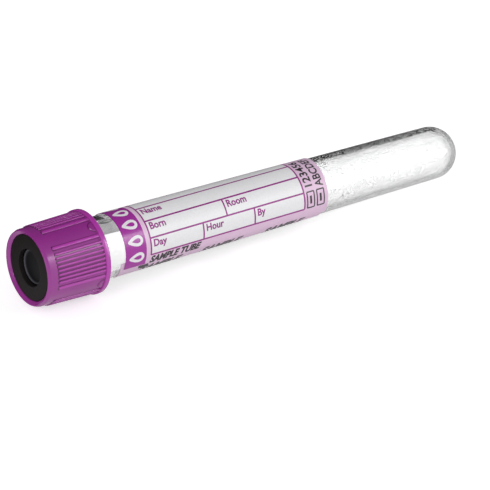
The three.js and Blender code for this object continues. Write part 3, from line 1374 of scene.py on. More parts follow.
@dataclass
class WrappedLabel:
    """The printed label, wrapped once round the tube with its end lapped over."""

    rule: SheetRule = field(default_factory=SheetRule)
    rows: int = 34
    columns: int = 168
    line: float = 0.32  # width of the printed rules
    line_step: float = 3.0  # the longest piece of a rule that runs along the tube
    table: tuple[float, float] = (6.0, 43.2)
    rules: tuple[float, ...] = (-11.85, -8.436, -5.03, -1.676, 1.65)
    dividers: tuple[tuple[float, int], ...] = ((24.5, 2), (18.6, 3), (31.0, 3))
    captions: tuple[tuple[str, float, int], ...] = (
        ("Name", 6.0, 1), ("Born", 6.0, 2), ("Room", 24.5, 2), ("Day", 6.0, 3),
        ("Hour", 18.6, 3), ("By", 31.0, 3))
    caption: Lettering = Lettering(1.35, bold=0.05)
    caption_inset: tuple[float, float] = (0.6, 0.4)
    title: Lettering = Lettering(1.55, 0.3, 0.1, 12.3)
    title_place: tuple[float, float] = (5.9, 3.62)
    under_word: Lettering = Lettering(2.3, 0.35, 0.15, 10.0)
    under_angle: float = -295.3  # where the words on the under end stand
    under_words: tuple[float, ...] = (4.6, 19.2, 34.4)
    under_bars: BarRow = BarRow()
    number: Lettering = Lettering(1.75, bold=0.05, length=7.4)
    numbers: tuple[tuple[str, float], ...] = (("123456", 45.6), ("ABCDEF", 48.1))
    number_foot: float = -2.2  # across the sheet
    boxes: tuple[float, ...] = (43.9, 46.3)
    box_length: float = 1.7  # along the sheet
    box_sides: tuple[float, float] = (-1.65, 1.55)
    box_line: float = 0.26
    box_bar: tuple[float, float] = (-0.85, 0.75)
    box_bar_width: float = 0.45
    drops: int = 6
    first_drop: float = 1.45  # across the sheet
    drop_pitch: float = 3.35
    drop_length: float = 3.0
    drop_width: float = 2.1
    drop_stroke: float = 0.6
    drop_middle: float = 2.55  # along the sheet
    drop_points: int = 20
    drop_taper: float = 1.3  # how sharply it runs out to its point

    def film(self) -> bpy.types.Mesh:
        """Makes the flat film, whose back faces have the second material.

        Returns:
            A closed mesh, flat and as thick as the film.
        """
        flat = self.rule.sheet(self.rows, self.columns).reshape(-1, 2)
        layers = [np.column_stack([flat, np.full(len(flat), z)])
                  for z in (0.0, self.rule.thickness)]
        quads = grid_faces(self.rows, self.columns, False, False)
        count = self.rows * self.columns
        faces = [q[::-1] for q in quads] + [tuple(count + k for k in q) for q in quads]
        rim = [i * self.columns for i in range(self.rows)]
        rim += [(self.rows - 1) * self.columns + j for j in range(1, self.columns)]
        rim += [i * self.columns + self.columns - 1 for i in range(self.rows - 2, -1, -1)]
        rim += list(range(self.columns - 2, 0, -1))
        faces += [(a, b, count + b, count + a) for a, b in zip(rim, rim[1:] + rim[:1])]
        mesh = mesh_of("film", np.vstack(layers), faces)
        sides = np.zeros(len(mesh.polygons), np.int32)
        sides[:len(quads)] = 1
        mesh.polygons.foreach_set("material_index", sides)
        return mesh

    def drop(self, middle: float) -> list[tuple[float, float]]:
        """Gives the outline of a plain drop whose point looks to the cap.

        Args:
            middle: Where its middle is, across the sheet.

        Returns:
            Its corners, along and across the sheet.
        """
        points = []
        for share in np.linspace(0, 1, self.drop_points, endpoint=False):
            turn = 2 * math.pi * share
            wide = math.sin(turn) * math.sin(turn / 2) ** self.drop_taper
            points.append((self.drop_middle - math.cos(turn) * self.drop_length / 2,
                           middle + wide * self.drop_width / 2))
        return points

    def purple_print(self) -> FlatPrint:
        """Draws the rules of the writing area and its captions.

        Returns:
            The purple print.
        """
        print_ = FlatPrint(self.rule.thickness)
        left, right = self.table
        for v in self.rules:
            print_.stroke([(left, v), (right, v)], self.line, step=self.line_step)
        for u in self.table:
            print_.stroke([(u, self.rules[0]), (u, self.rules[-1])], self.line)
        for u, row in self.dividers:
            print_.stroke([(u, self.rules[row]), (u, self.rules[row + 1])], self.line)
        inset, drop = self.caption_inset
        for text, u, row in self.captions:
            foot = self.rules[row] + drop + self.caption.height
            print_.word(text, (u + inset, foot), self.caption)
        return print_

    def black_print(self) -> FlatPrint:
        """Draws the black words below the writing area, the numbers and the boxes.

        Returns:
            The black print.
        """
        print_ = FlatPrint(self.rule.thickness)
        print_.word("SAMPLE TUBE", self.title_place, self.title)
        print_.bars(self.under_bars, self.rule)
        foot = math.radians(self.under_angle)
        turn = -foot * math.sin(TAPER.half_angle)
        for start in self.under_words:
            print_.word("SAMPLE", self.rule.at(start, foot), self.under_word, turn)
        for marks, u in self.numbers:
            print_.word(marks, (u, self.number_foot), self.number, -math.pi / 2)
        for start in self.boxes:
            print_.box((start, start + self.box_length), self.box_sides, self.box_line)
            middle = start + self.box_length / 2
            print_.stroke([(middle, v) for v in self.box_bar], self.box_bar_width)
        return print_

    def white_print(self) -> FlatPrint:
        """Draws the drops on the strong band.

        Returns:
            The white print.
        """
        print_ = FlatPrint(self.rule.thickness)
        for i in range(self.drops):
            outline = self.drop(self.first_drop - i * self.drop_pitch)
            print_.stroke(outline, self.drop_stroke, closed=True)
        return print_

    def build(self, axis: TubeAxis) -> list[bpy.types.Object]:
        """Makes the label and its print.

        Args:
            axis: Where the tube lies.

        Returns:
            The dressed pieces.
        """
        tree = self.rule.tree()
        back_finish = AdhesiveBack("Label back")
        face, back = back_finish.front.build(), back_finish.build()
        film = grown(self.film(), tree, self.rule.values(face, back), "film")
        sheet = stood(cleaned(film, 40.0), "wrapped_label", axis)
        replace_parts(sheet, "label")
        pieces = [sheet]
        drawn = {Ink.PURPLE: self.purple_print(), Ink.BLACK: self.black_print(),
                 Ink.WHITE: self.white_print()}
        for ink, print_ in drawn.items():
            finish = ink.finish.build()
            flat = print_.mesh(ink.value)
            rolled = grown(flat, tree, self.rule.values(finish, finish), ink.value)
            pieces.append(stood(cleaned(rolled, 30.0), f"label_print_{ink.value}", axis))
        for piece in pieces:
            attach(piece, "tube_body")
        return pieces


# ---------------------------------------------------------------- cap


@dataclass(frozen=True)
class PaintedReliefShading:
    """How the cap's shape is turned into painted shade in its hollows and painted highlights on
    its crests, which its finish reads.

    Args:
        start_reach: How far the deepest painted shade runs on from where the ribs start.
        start_fade: The length over which it fades.
        plain_depth: The depth of the painted shade between the ribs beyond that.
        seam: Where the painted shadow along a half moon's edge is, as a share of the moon's size.
        moon_shadow_half: That painted shadow's half width, as such a share.
        moon_shadow_depth: How deep that painted shadow is.
        crest_from: The share of a rib's height above which its crest gets the painted highlight.
        lip_highlight_reach: How far inside the flange's radius the painted highlight on its lip
            begins.
        lip_highlight_fade: The distance over which that painted highlight comes in.
    """

    start_reach: float = 0.9
    start_fade: float = 0.6
    plain_depth: float = 0.6
    seam: float = 1.02
    moon_shadow_half: float = 0.16
    moon_shadow_depth: float = 0.8
    crest_from: float = 0.75
    lip_highlight_reach: float = 0.3
    lip_highlight_fade: float = 0.2


@dataclass
class CapShell:
    """The ribbed twist-off cap: one sector of it, repeated round the axis."""

    groups: int = 4
    middle: float = 71.1  # of the first group of ribs, in degrees
    rim_radius: float = 7.5
    shoulder: tuple[Corner, ...] = ((0.04, 7.66, 0.12), (0.62, 7.88, 0.5))
    collar_radius: float = 7.88
    collar_length: float = 2.1
    draft: float = 0.021
    flange_x: float = 13.0
    flange_radius: float = 8.6
    length: float = 14.1
    mouth_radius: float = 7.3
    mouth_slope: float = 13.8  # where the mouth's slope meets the bore
    bore_radius: float = 7.0
    bead_x: float = 3.35  # the bore's end, at the bead that holds the stopper
    groove: tuple[float, float] = (2.3, 3.1)
    groove_radius: float = 7.3
    web_x: float = 1.7  # the web's face towards the ring
    web_hole: float = 4.9
    pocket_radius: float = 6.8  # of the pocket that holds the ring
    pocket_slope: float = 0.5  # how deep the slope from the rim into it runs
    section_steps: int = 6  # pieces of each rounded corner
    fine_ribs: int = 8
    fine_pitch: float = 5.87
    fine_half: float = 1.8
    border_offset: float = 29.8
    border_half: float = 2.75
    rib_height: float = 0.25
    rib_start: float = 2.3
    rib_fullness: int = 4  # how square a rib's section is; 2 is round
    rib_shares: tuple[float, ...] = (0.0, 0.35, 0.6, 0.78, 0.9, 0.97, 1.0)
    start_steps: tuple[float, ...] = (-0.1, 0.0, 0.01, 0.03, 0.06, 0.1, 0.15, 0.21, 0.28, 0.35,
                                      0.42)
    skirt_margins: tuple[float, float] = (1.2, 1.6)  # of the plain rows, at ribs and flange
    skirt_rows: int = 7
    moon_margins: tuple[float, float] = (0.1, 0.4)  # of the half moons' rows
    moon_step: float = 0.08
    panel_from: float = 33.0  # a smooth panel's columns, in degrees
    panel_step: float = 0.55
    between_ribs: tuple[float, float] = (23.9, 25.5)  # columns beside a wide rib, in degrees
    moon_half_width: float = 1.15
    moon_length: float = 1.2
    moon_height: float = 0.2
    moon_edge: float = 0.14
    lug_x: float = 6.75
    lug_angle: float = 90.0  # of the first lug, in degrees
    lug_half_span: float = 20.0
    lug_fade: float = 4.0  # degrees over which each end runs out
    lug_crest: float = 6.6
    lug_foot: float = 7.05
    lug_root: float = 7.2  # buried in the shell
    lug_columns: int = 22
    lug_section: tuple[tuple[float, float | None], ...] = (  # share of the height; None: root
        (-0.45, None), (0.45, None), (0.4, 0.5), (0.2, 1.0), (-0.2, 1.0), (-0.4, 0.5))
    side_slack: float = 0.01  # by which the outside is told from the inside
    flange_slack: float = 0.05
    tone: PaintedReliefShading = PaintedReliefShading()
    # its last two numbers keep a third of the colour in the painted shade of hollows, and make
    # crests half again as light: a painted highlight
    finish: MouldedPlastic = MouldedPlastic(
        "Purple moulded plastic", (0.305, 0.029, 0.270), (0.275, 0.024, 0.243), 0.22, 0.04, 0.10,
        0.85, (1.0, 0.8, 0.98), 0.34, 1.5)

    @property
    def half_sector(self) -> float:
        """Gives half of a sector's angle, in degrees."""
        return 180 / self.groups

    def skirt(self, x: np.ndarray) -> np.ndarray:
        """Gives the skirt's radius between its ribs."""
        return self.collar_radius + self.draft * np.maximum(0, x - self.collar_length)

    def stations(self) -> np.ndarray:
        """Gives the skirt's extra stations, close together where ribs and half moons end.

        Returns:
            The stations, from the collar to the flange.
        """
        starts = self.rib_start + np.array(self.start_steps)
        body = np.linspace(self.rib_start + self.skirt_margins[0],
                           self.flange_x - self.skirt_margins[1], self.skirt_rows)
        ends = np.arange(self.flange_x - self.moon_length - self.moon_margins[0],
                         self.flange_x - self.moon_margins[1], self.moon_step)
        return np.concatenate([starts, body, ends])

    def outline(self) -> np.ndarray:
        """Gives the cap's section, with the skirt's stations in it.

        Returns:
            Rows of x and radius, from the ring's pocket over the outside and back inside.
        """
        root = float(self.skirt(np.array(self.flange_x)))
        web_back, groove_end = self.groove
        corners = [
            (self.pocket_slope, self.pocket_radius, 0.06), (0.0, self.rim_radius, 0.15),
            *self.shoulder,
            (self.collar_length, self.collar_radius, 0), (self.flange_x, root, 0.2),
            (self.flange_x, self.flange_radius, 0.25), (self.length, self.flange_radius, 0.25),
            (self.length, self.mouth_radius, 0.1), (self.mouth_slope, self.bore_radius, 0.15),
            (self.bead_x, self.bore_radius, 0.1), (groove_end, self.groove_radius, 0.05),
            (web_back, self.groove_radius, 0.05), (web_back, self.web_hole, 0.1),
            (self.web_x, self.web_hole, 0.1), (self.web_x, self.pocket_radius, 0.1),
        ]
        points = eased(corners, self.section_steps)
        first = next(i for i, p in enumerate(points) if p[0] == self.collar_length)
        extra = [(x, float(self.skirt(np.array(x)))) for x in self.stations()]
        return np.vstack([points[:first + 1], extra, points[first + 1:]])

    def ribs(self) -> list[tuple[float, float]]:
        """Gives the place of each rib.

        Returns:
            Each rib's middle and half width, in degrees from the sector's middle.
        """
        first = -self.fine_pitch * (self.fine_ribs - 1) / 2
        fine = [(first + i * self.fine_pitch, self.fine_half) for i in range(self.fine_ribs)]
        border = [(side * self.border_offset, self.border_half) for side in (-1, 1)]
        return border + fine

    def marks(self, x: np.ndarray, radius: np.ndarray, degrees: np.ndarray) -> np.ndarray:
        """Gives what the finish reads: painted shade in the hollows of the cap's outside, and a
        painted highlight where it stands out.

        Args:
            x: Stations.
            radius: Radii, of the same shape.
            degrees: Angles from the sector's middle, of the same shape.

        Returns:
            -1 where the painted shade is deepest, 0 on plain places and 1 where the painted
            highlight is fullest.
        """
        near = np.min([np.abs(degrees - middle) - half for middle, half in self.ribs()], axis=0)
        beside = np.clip(1 - np.maximum(near, 0) / self.fine_half, 0, 1)
        rise = np.clip(self.relief(x, degrees) / self.rib_height, 0, 1)
        tone = self.tone
        inside = (x > self.rib_start + min(self.start_steps)) & (x < self.flange_x)
        # painted shade between the ribs, deepest where they start
        start = np.clip((self.rib_start + tone.start_reach - x) / tone.start_fade, 0, 1)
        fading = tone.plain_depth + (1 - tone.plain_depth) * start
        depth = beside * (1 - rise) ** 2 * fading * inside
        # a painted shadow along each half moon's edge
        off = np.abs(self.moon_offset(x, degrees) - tone.seam)
        edge = np.clip(1 - off / tone.moon_shadow_half, 0, 1)
        depth = np.maximum(depth, tone.moon_shadow_depth * edge * (x < self.flange_x))
        # a painted highlight on the ribs' crests
        crest = np.clip((rise - tone.crest_from) / (1 - tone.crest_from), 0, 1)
        crest = crest * (beside >= 1) * inside
        # a painted highlight on the flange's lip
        lip = np.clip((radius - self.flange_radius + tone.lip_highlight_reach) / tone.lip_highlight_fade, 0, 1)
        return np.maximum(crest, lip) - depth * (lip == 0)

    def moon_offset(self, x: np.ndarray, degrees: np.ndarray) -> np.ndarray:
        """Gives the distance from the nearest half moon's middle.

        Args:
            x: Stations.
            degrees: Angles from the sector's middle, of the same shape.

        Returns:
            Distances, as shares of the moon's size.
        """
        away = np.radians(self.half_sector - np.abs(degrees)) * self.skirt(x)
        return np.hypot(away / self.moon_half_width,
                        np.minimum(0, x - self.flange_x) / self.moon_length)

    def angles(self) -> np.ndarray:
        """Gives the sector's columns, close together at the ribs' edges.

        Returns:
            Degrees from the sector's middle, in order.
        """
        shares = np.array(self.rib_shares)
        rib = np.concatenate([-shares[::-1], shares[1:]])
        columns = [np.array((-self.half_sector, self.half_sector))]
        for side in (-1, 1):
            columns.append(side * self.border_offset + rib * self.border_half)
            columns.append(side * np.arange(self.panel_from, self.half_sector, self.panel_step))
            columns.append(side * np.array(self.between_ribs))
        for i in range(self.fine_ribs):
            columns.append((i - (self.fine_ribs - 1) / 2) * self.fine_pitch + rib * self.fine_half)
        return np.unique(np.round(np.concatenate(columns), 4))

    def relief(self, x: np.ndarray, degrees: np.ndarray) -> np.ndarray:
        """Gives how far ribs and half moons stand above the skirt.

        Args:
            x: Stations.
            degrees: Angles from the sector's middle, of the same shape.

        Returns:
            Heights, of the same shape.
        """
        height = np.zeros_like(x)
        for middle, half in self.ribs():
            width = math.radians(half) * self.collar_radius
            side = (degrees - middle) / half
            end = np.maximum(0, (self.rib_start + width - x) / width)
            off = np.minimum(1, np.hypot(side, end))
            height = np.maximum(height, self.rib_height * np.sqrt(1 - off ** self.rib_fullness))
        rise = np.clip((1 - self.moon_offset(x, degrees)) / self.moon_edge, 0, 1)
        return np.maximum(height, self.moon_height * rise * rise * (3 - 2 * rise))

    def lug(self) -> tuple[np.ndarray, list[tuple]]:
        """Makes one lug of the twist thread, which follows the thread's climb.

        Returns:
            Its points as rows, and the corners of its faces.
        """
        span = np.linspace(-self.lug_half_span, self.lug_half_span, self.lug_columns)
        fade = np.clip((self.lug_half_span - abs(span)) / self.lug_fade, 0, 1)
        height = (self.lug_foot - self.lug_crest) * np.sin(fade * math.pi / 2)
        middle = self.lug_x + THREAD_LEAD / 360 * span
        rows = []
        for off, share in self.lug_section:
            buried = np.full_like(span, self.lug_root)
            radius = buried if share is None else self.lug_foot - height * share
            rows.append(around(middle + off, radius, np.radians(span + self.lug_angle)))
        points = np.array(rows)
        count = len(span)
        faces = grid_faces(len(rows), count, True, False)
        faces.append(tuple(i * count for i in range(len(rows))))
        faces.append(tuple(i * count + count - 1 for i in reversed(range(len(rows)))))
        return points.reshape(-1, 3), faces

    def sector(self) -> bpy.types.Mesh:
        """Makes one sector, open at its two sides.

        Returns:
            The sector's mesh, with its painted shade and painted highlights in the attribute that
            the finish reads.
        """
        rows, degrees = self.outline(), self.angles()
        x, angle = np.broadcast_arrays(rows[:, :1], degrees[None, :])
        radius = np.broadcast_to(rows[:, 1:], x.shape).copy()
        outside = (x > self.collar_length) & (x < self.flange_x + self.flange_slack)
        outside &= radius > self.collar_radius - self.side_slack
        raised = self.skirt(x) + self.relief(x, angle)
        radius = np.where(outside, np.maximum(radius, raised), radius)
        points = around(x, radius, np.radians(angle + self.middle)).reshape(-1, 3)
        faces = grid_faces(len(rows), len(degrees), True, False)
        lug_points, lug_faces = self.lug()
        faces += [tuple(k + len(points) for k in face) for face in lug_faces]
        mesh = mesh_of("sector", np.vstack([points, lug_points]), faces)
        # the relief attribute holds painted shade for hollows and painted highlights for crests
        # and the flange's lip
        outer = (x > self.collar_length) & (radius > self.collar_radius - self.side_slack)
        marks = np.concatenate([(self.marks(x, radius, angle) * outer).ravel(),
                                np.zeros(len(lug_points))])
        mesh.attributes.new("relief", "FLOAT", "POINT").data.foreach_set("value", marks)
        return mesh

    def tree(self) -> bpy.types.NodeTree:
        """Makes the tree that repeats a sector round the axis and joins the copies.

        Returns:
            The tree, with inputs for the count and the distance of joining.
        """
        sizes = {"Count": "Int", "Merge Distance": "Float", "Material": "Material"}
        tree, sketch, given, result = mesh_tree("Repeat round axis", sizes)
        points = sketch.node("GeometryNodePoints", {"Count": given.outputs["Count"]})
        number = sketch.node("GeometryNodeInputIndex").outputs[0]
        step = sketch.math("DIVIDE", 2 * math.pi, given.outputs["Count"])
        turn = sketch.node("ShaderNodeCombineXYZ", {0: sketch.math("MULTIPLY", number, step)})
        rotation = sketch.node("FunctionNodeEulerToRotation", {0: turn.outputs[0]})
        copies = sketch.node("GeometryNodeInstanceOnPoints", {
            "Points": points.outputs[0], "Instance": given.outputs["Geometry"],
            "Rotation": rotation.outputs[0]})
        real = sketch.node("GeometryNodeRealizeInstances", {0: copies.outputs["Instances"]})
        merged = sketch.node("GeometryNodeMergeByDistance", {
            "Geometry": real.outputs[0], "Distance": given.outputs["Merge Distance"]})
        dressed = sketch.dressed(merged.outputs[0], given.outputs["Material"])
        sketch.feed(result.inputs[0], dressed)
        return tree

    def build(self, axis: TubeAxis, effects: Effects) -> bpy.types.Object:
        """Makes the cap.

        Args:
            axis: Where the tube lies.
            effects: The shared groups.

        Returns:
            The dressed piece.
        """
        mesh = grown(self.sector(), self.tree(), {
            "Count": self.groups, "Merge Distance": MERGE_DISTANCE,
            "Material": self.finish.build(effects)}, "cap")
        piece = stood(cleaned(mesh, 38.0), "ribbed_cap", axis)
        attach(piece, "cap")
        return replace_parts(piece, "cap_shell")


@dataclass
class CapRing:
    """The black ring in the cap's end."""

    face_x: float = 0.5
    thickness: float = 1.1
    hole_radius: float = 3.8
    radius: float = 6.7
    edge: float = 0.14
    columns: int = 160
    finish: MouldedPlastic = MouldedPlastic(
        "Black moulded plastic", (0.019, 0.0155, 0.016), (0.0155, 0.0125, 0.013), 0.55, 0.08,
        0.35, 0.08)

    def build(self, axis: TubeAxis, effects: Effects) -> bpy.types.Object:
        """Makes the ring.

        Args:
            axis: Where the tube lies.
            effects: The shared groups.

        Returns:
            The dressed piece.
        """
        back = self.face_x + self.thickness
        outline = eased([
            (self.face_x, self.hole_radius, self.edge), (self.face_x, self.radius, self.edge),
            (back, self.radius, self.edge), (back, self.hole_radius, self.edge)])
        mesh = turned_mesh("ring", outline, self.columns)
        mesh.materials.append(self.finish.build(effects))
        piece = stood(mesh, "cap_ring_face", axis)
        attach(piece, "cap")
        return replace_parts(piece, "cap_ring")


@dataclass
class RubberStopper:
    """The grey rubber stopper: its boss shows through the ring, and its plug seals the bore."""

    boss_x: float = 1.5
    boss_radius: float = 3.65
    boss_rounding: float = 0.15
    dish_radius: float = 3.3
    dish_slope: float = 0.3
    dish_depth: float = 0.35
    dish_lip: float = 0.11  # the width of the dish's steep edge
    # the next two place a painted highlight line round the dish's edge
    highlight_offset: float = 0.08  # of the edge's pale line from the dish's radius
    highlight_half: float = 0.22
    head_x: float = 2.4
    head_radius: float = 7.2
    plug_x: float = 3.0
    plug_end: float = 11.4
    plug_radius: float = 5.05
    draft: float = 0.02
    beads: int = 3
    bead_height: float = 0.25
    bead_width: float = 0.9
    chamfer: float = 0.5
    well_radius: float = 2.2
    well_floor: float = 1.8
    well_depth: float = 3.4
    well_slope: float = 0.35  # how far its bottom rises towards the side
    columns: int = 144
    # crest makes the colour up to nine times as light along the painted highlight line at the
    # dish's edge
    finish: MouldedPlastic = MouldedPlastic(
        "Grey rubber", (0.0105, 0.0105, 0.0125), (0.008, 0.008, 0.0095), 0.45, 0.1, 0.5, 0.1,
        crest=9.0)

    def side(self, x: float) -> float:
        """Gives the plug's radius at a station."""
        return self.plug_radius - self.draft * (x - self.plug_x)

    def bead_outline(self) -> list[Corner]:
        """Gives the corners of the sealing beads along the plug's side.

        Returns:
            Each corner's x, radius and rounding.
        """
        corners = []
        run = self.plug_end - self.plug_x - self.chamfer
        for i in range(1, self.beads + 1):
            x = self.plug_x + i * run / (self.beads + 1)
            crest = self.side(x) + self.bead_height
            half, top = self.bead_width / 2, self.bead_width / 5
            corners += [(x - half, self.side(x - half), 0.08), (x - top, crest, 0.15),
                        (x + top, crest, 0.15), (x + half, self.side(x + half), 0.08)]
        return corners

    def build(self, axis: TubeAxis, effects: Effects) -> bpy.types.Object:
        """Makes the stopper.

        Args:
            axis: Where the tube lies.
            effects: The shared groups.

        Returns:
            The dressed piece.
        """
        end = self.side(self.plug_end)
        floor_x = self.boss_x + self.dish_depth
        outline = eased([
            (floor_x, 0, 0), (floor_x, self.dish_radius - self.dish_slope, 0.25),
            (floor_x - self.dish_depth / 2, self.dish_radius, 0.12),
            (self.boss_x, self.dish_radius + self.dish_lip, 0.07),
            (self.boss_x, self.boss_radius, self.boss_rounding),
            (self.head_x, self.boss_radius, 0.12), (self.head_x, self.head_radius, 0.1),
            (self.plug_x, self.head_radius, 0.1), (self.plug_x, self.plug_radius, 0.1),
            *self.bead_outline(),
            (self.plug_end - self.chamfer, end, 0.15), (self.plug_end, end - self.chamfer, 0.15),
            (self.plug_end, self.well_radius, 0.2),
            (self.plug_end - self.well_depth + self.well_slope, self.well_floor, 0.3),
            (self.plug_end - self.well_depth, 0, 0)], closed=False)
        mesh = turned_mesh("stopper", outline, self.columns)
        # a painted highlight line round the dish's edge, kept in the relief attribute
        off = [abs(math.hypot(v.co.y, v.co.z) - self.dish_radius - self.highlight_offset)
               for v in mesh.vertices]
        wear_and_painted_highlight = [max(0.0, 1 - o / self.highlight_half) * (v.co.x < floor_x)
                for o, v in zip(off, mesh.vertices)]
        mesh.attributes.new("relief", "FLOAT", "POINT").data.foreach_set("value", wear_and_painted_highlight)
        mesh.materials.append(self.finish.build(effects))
        piece = stood(mesh, "stopper", axis)
        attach(piece, "stopper")
        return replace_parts(piece, "rubber_stopper")


# ---------------------------------------------------------------- studio


def direction(azimuth: float, elevation: float) -> Vector:
    """Gives the way from the object to a place round it.

    Args:
        azimuth: Degrees round the object from -Y towards +X.
        elevation: Degrees above the horizon.

    Returns:
        A vector of length one.
    """
    a, e = math.radians(azimuth), math.radians(elevation)
    return Vector((math.sin(a) * math.cos(e), -math.cos(a) * math.cos(e), math.sin(e)))


@dataclass(frozen=True)
class Viewpoint:
    """Where the camera stands, as angles round the object.

    Args:
        azimuth: Degrees round the object. 0 looks along +Y.
        elevation: Degrees above the horizon.
        distance: Metres from the target.
        target: What it looks at, in metres.
        lens: The lens, in millimetres.
        sensor: The sensor's width, in millimetres.
        reach: The nearest and the furthest distance that it sees, in metres.
    """

    azimuth: float = -34.75
    elevation: float = 28.61
    distance: float = 1.0
    target: tuple[float, float, float] = (-0.001319, -0.002310, -0.000193)
    lens: float = 367.4
    sensor: float = 36.0
    reach: tuple[float, float] = (0.01, 20.0)

    def build(self) -> bpy.types.Object:
        """Makes the scene's camera.

        Returns:
            The camera.
        """
        away = direction(self.azimuth, self.elevation)
        data = bpy.data.cameras.new("camera")
        data.sensor_width, data.lens = self.sensor, self.lens
        data.clip_start, data.clip_end = self.reach
        camera = bpy.data.objects.new("camera", data)
        camera.location = Vector(self.target) + away * self.distance
        camera.rotation_euler = (-away).to_track_quat("-Z", "Y").to_euler()
        bpy.context.scene.collection.objects.link(camera)
        bpy.context.scene.camera = camera
        return camera


@dataclass(frozen=True)
class Softbox:
    """A rectangular lamp that looks at the object.

    Args:
        name: The lamp's name.
        azimuth: Degrees round the object from -Y towards +X.
        elevation: Degrees above the horizon.
        distance: Metres from the object.
        size: Its width and height in metres.
        power: Its power in watts.
    """

    name: str
    azimuth: float
    elevation: float
    distance: float
    size: tuple[float, float]
    power: float

    def build(self) -> bpy.types.Object:
        """Makes the lamp.

        Returns:
            The lamp.
        """
        away = direction(self.azimuth, self.elevation)
        data = bpy.data.lights.new(self.name, "AREA")
        data.shape = "RECTANGLE"
        data.size, data.size_y = self.size
        data.energy = self.power
        lamp = bpy.data.objects.new(self.name, data)
        lamp.location = away * self.distance
        lamp.rotation_euler = away.to_track_quat("Z", "Y").to_euler()
        bpy.context.scene.collection.objects.link(lamp)
        return lamp


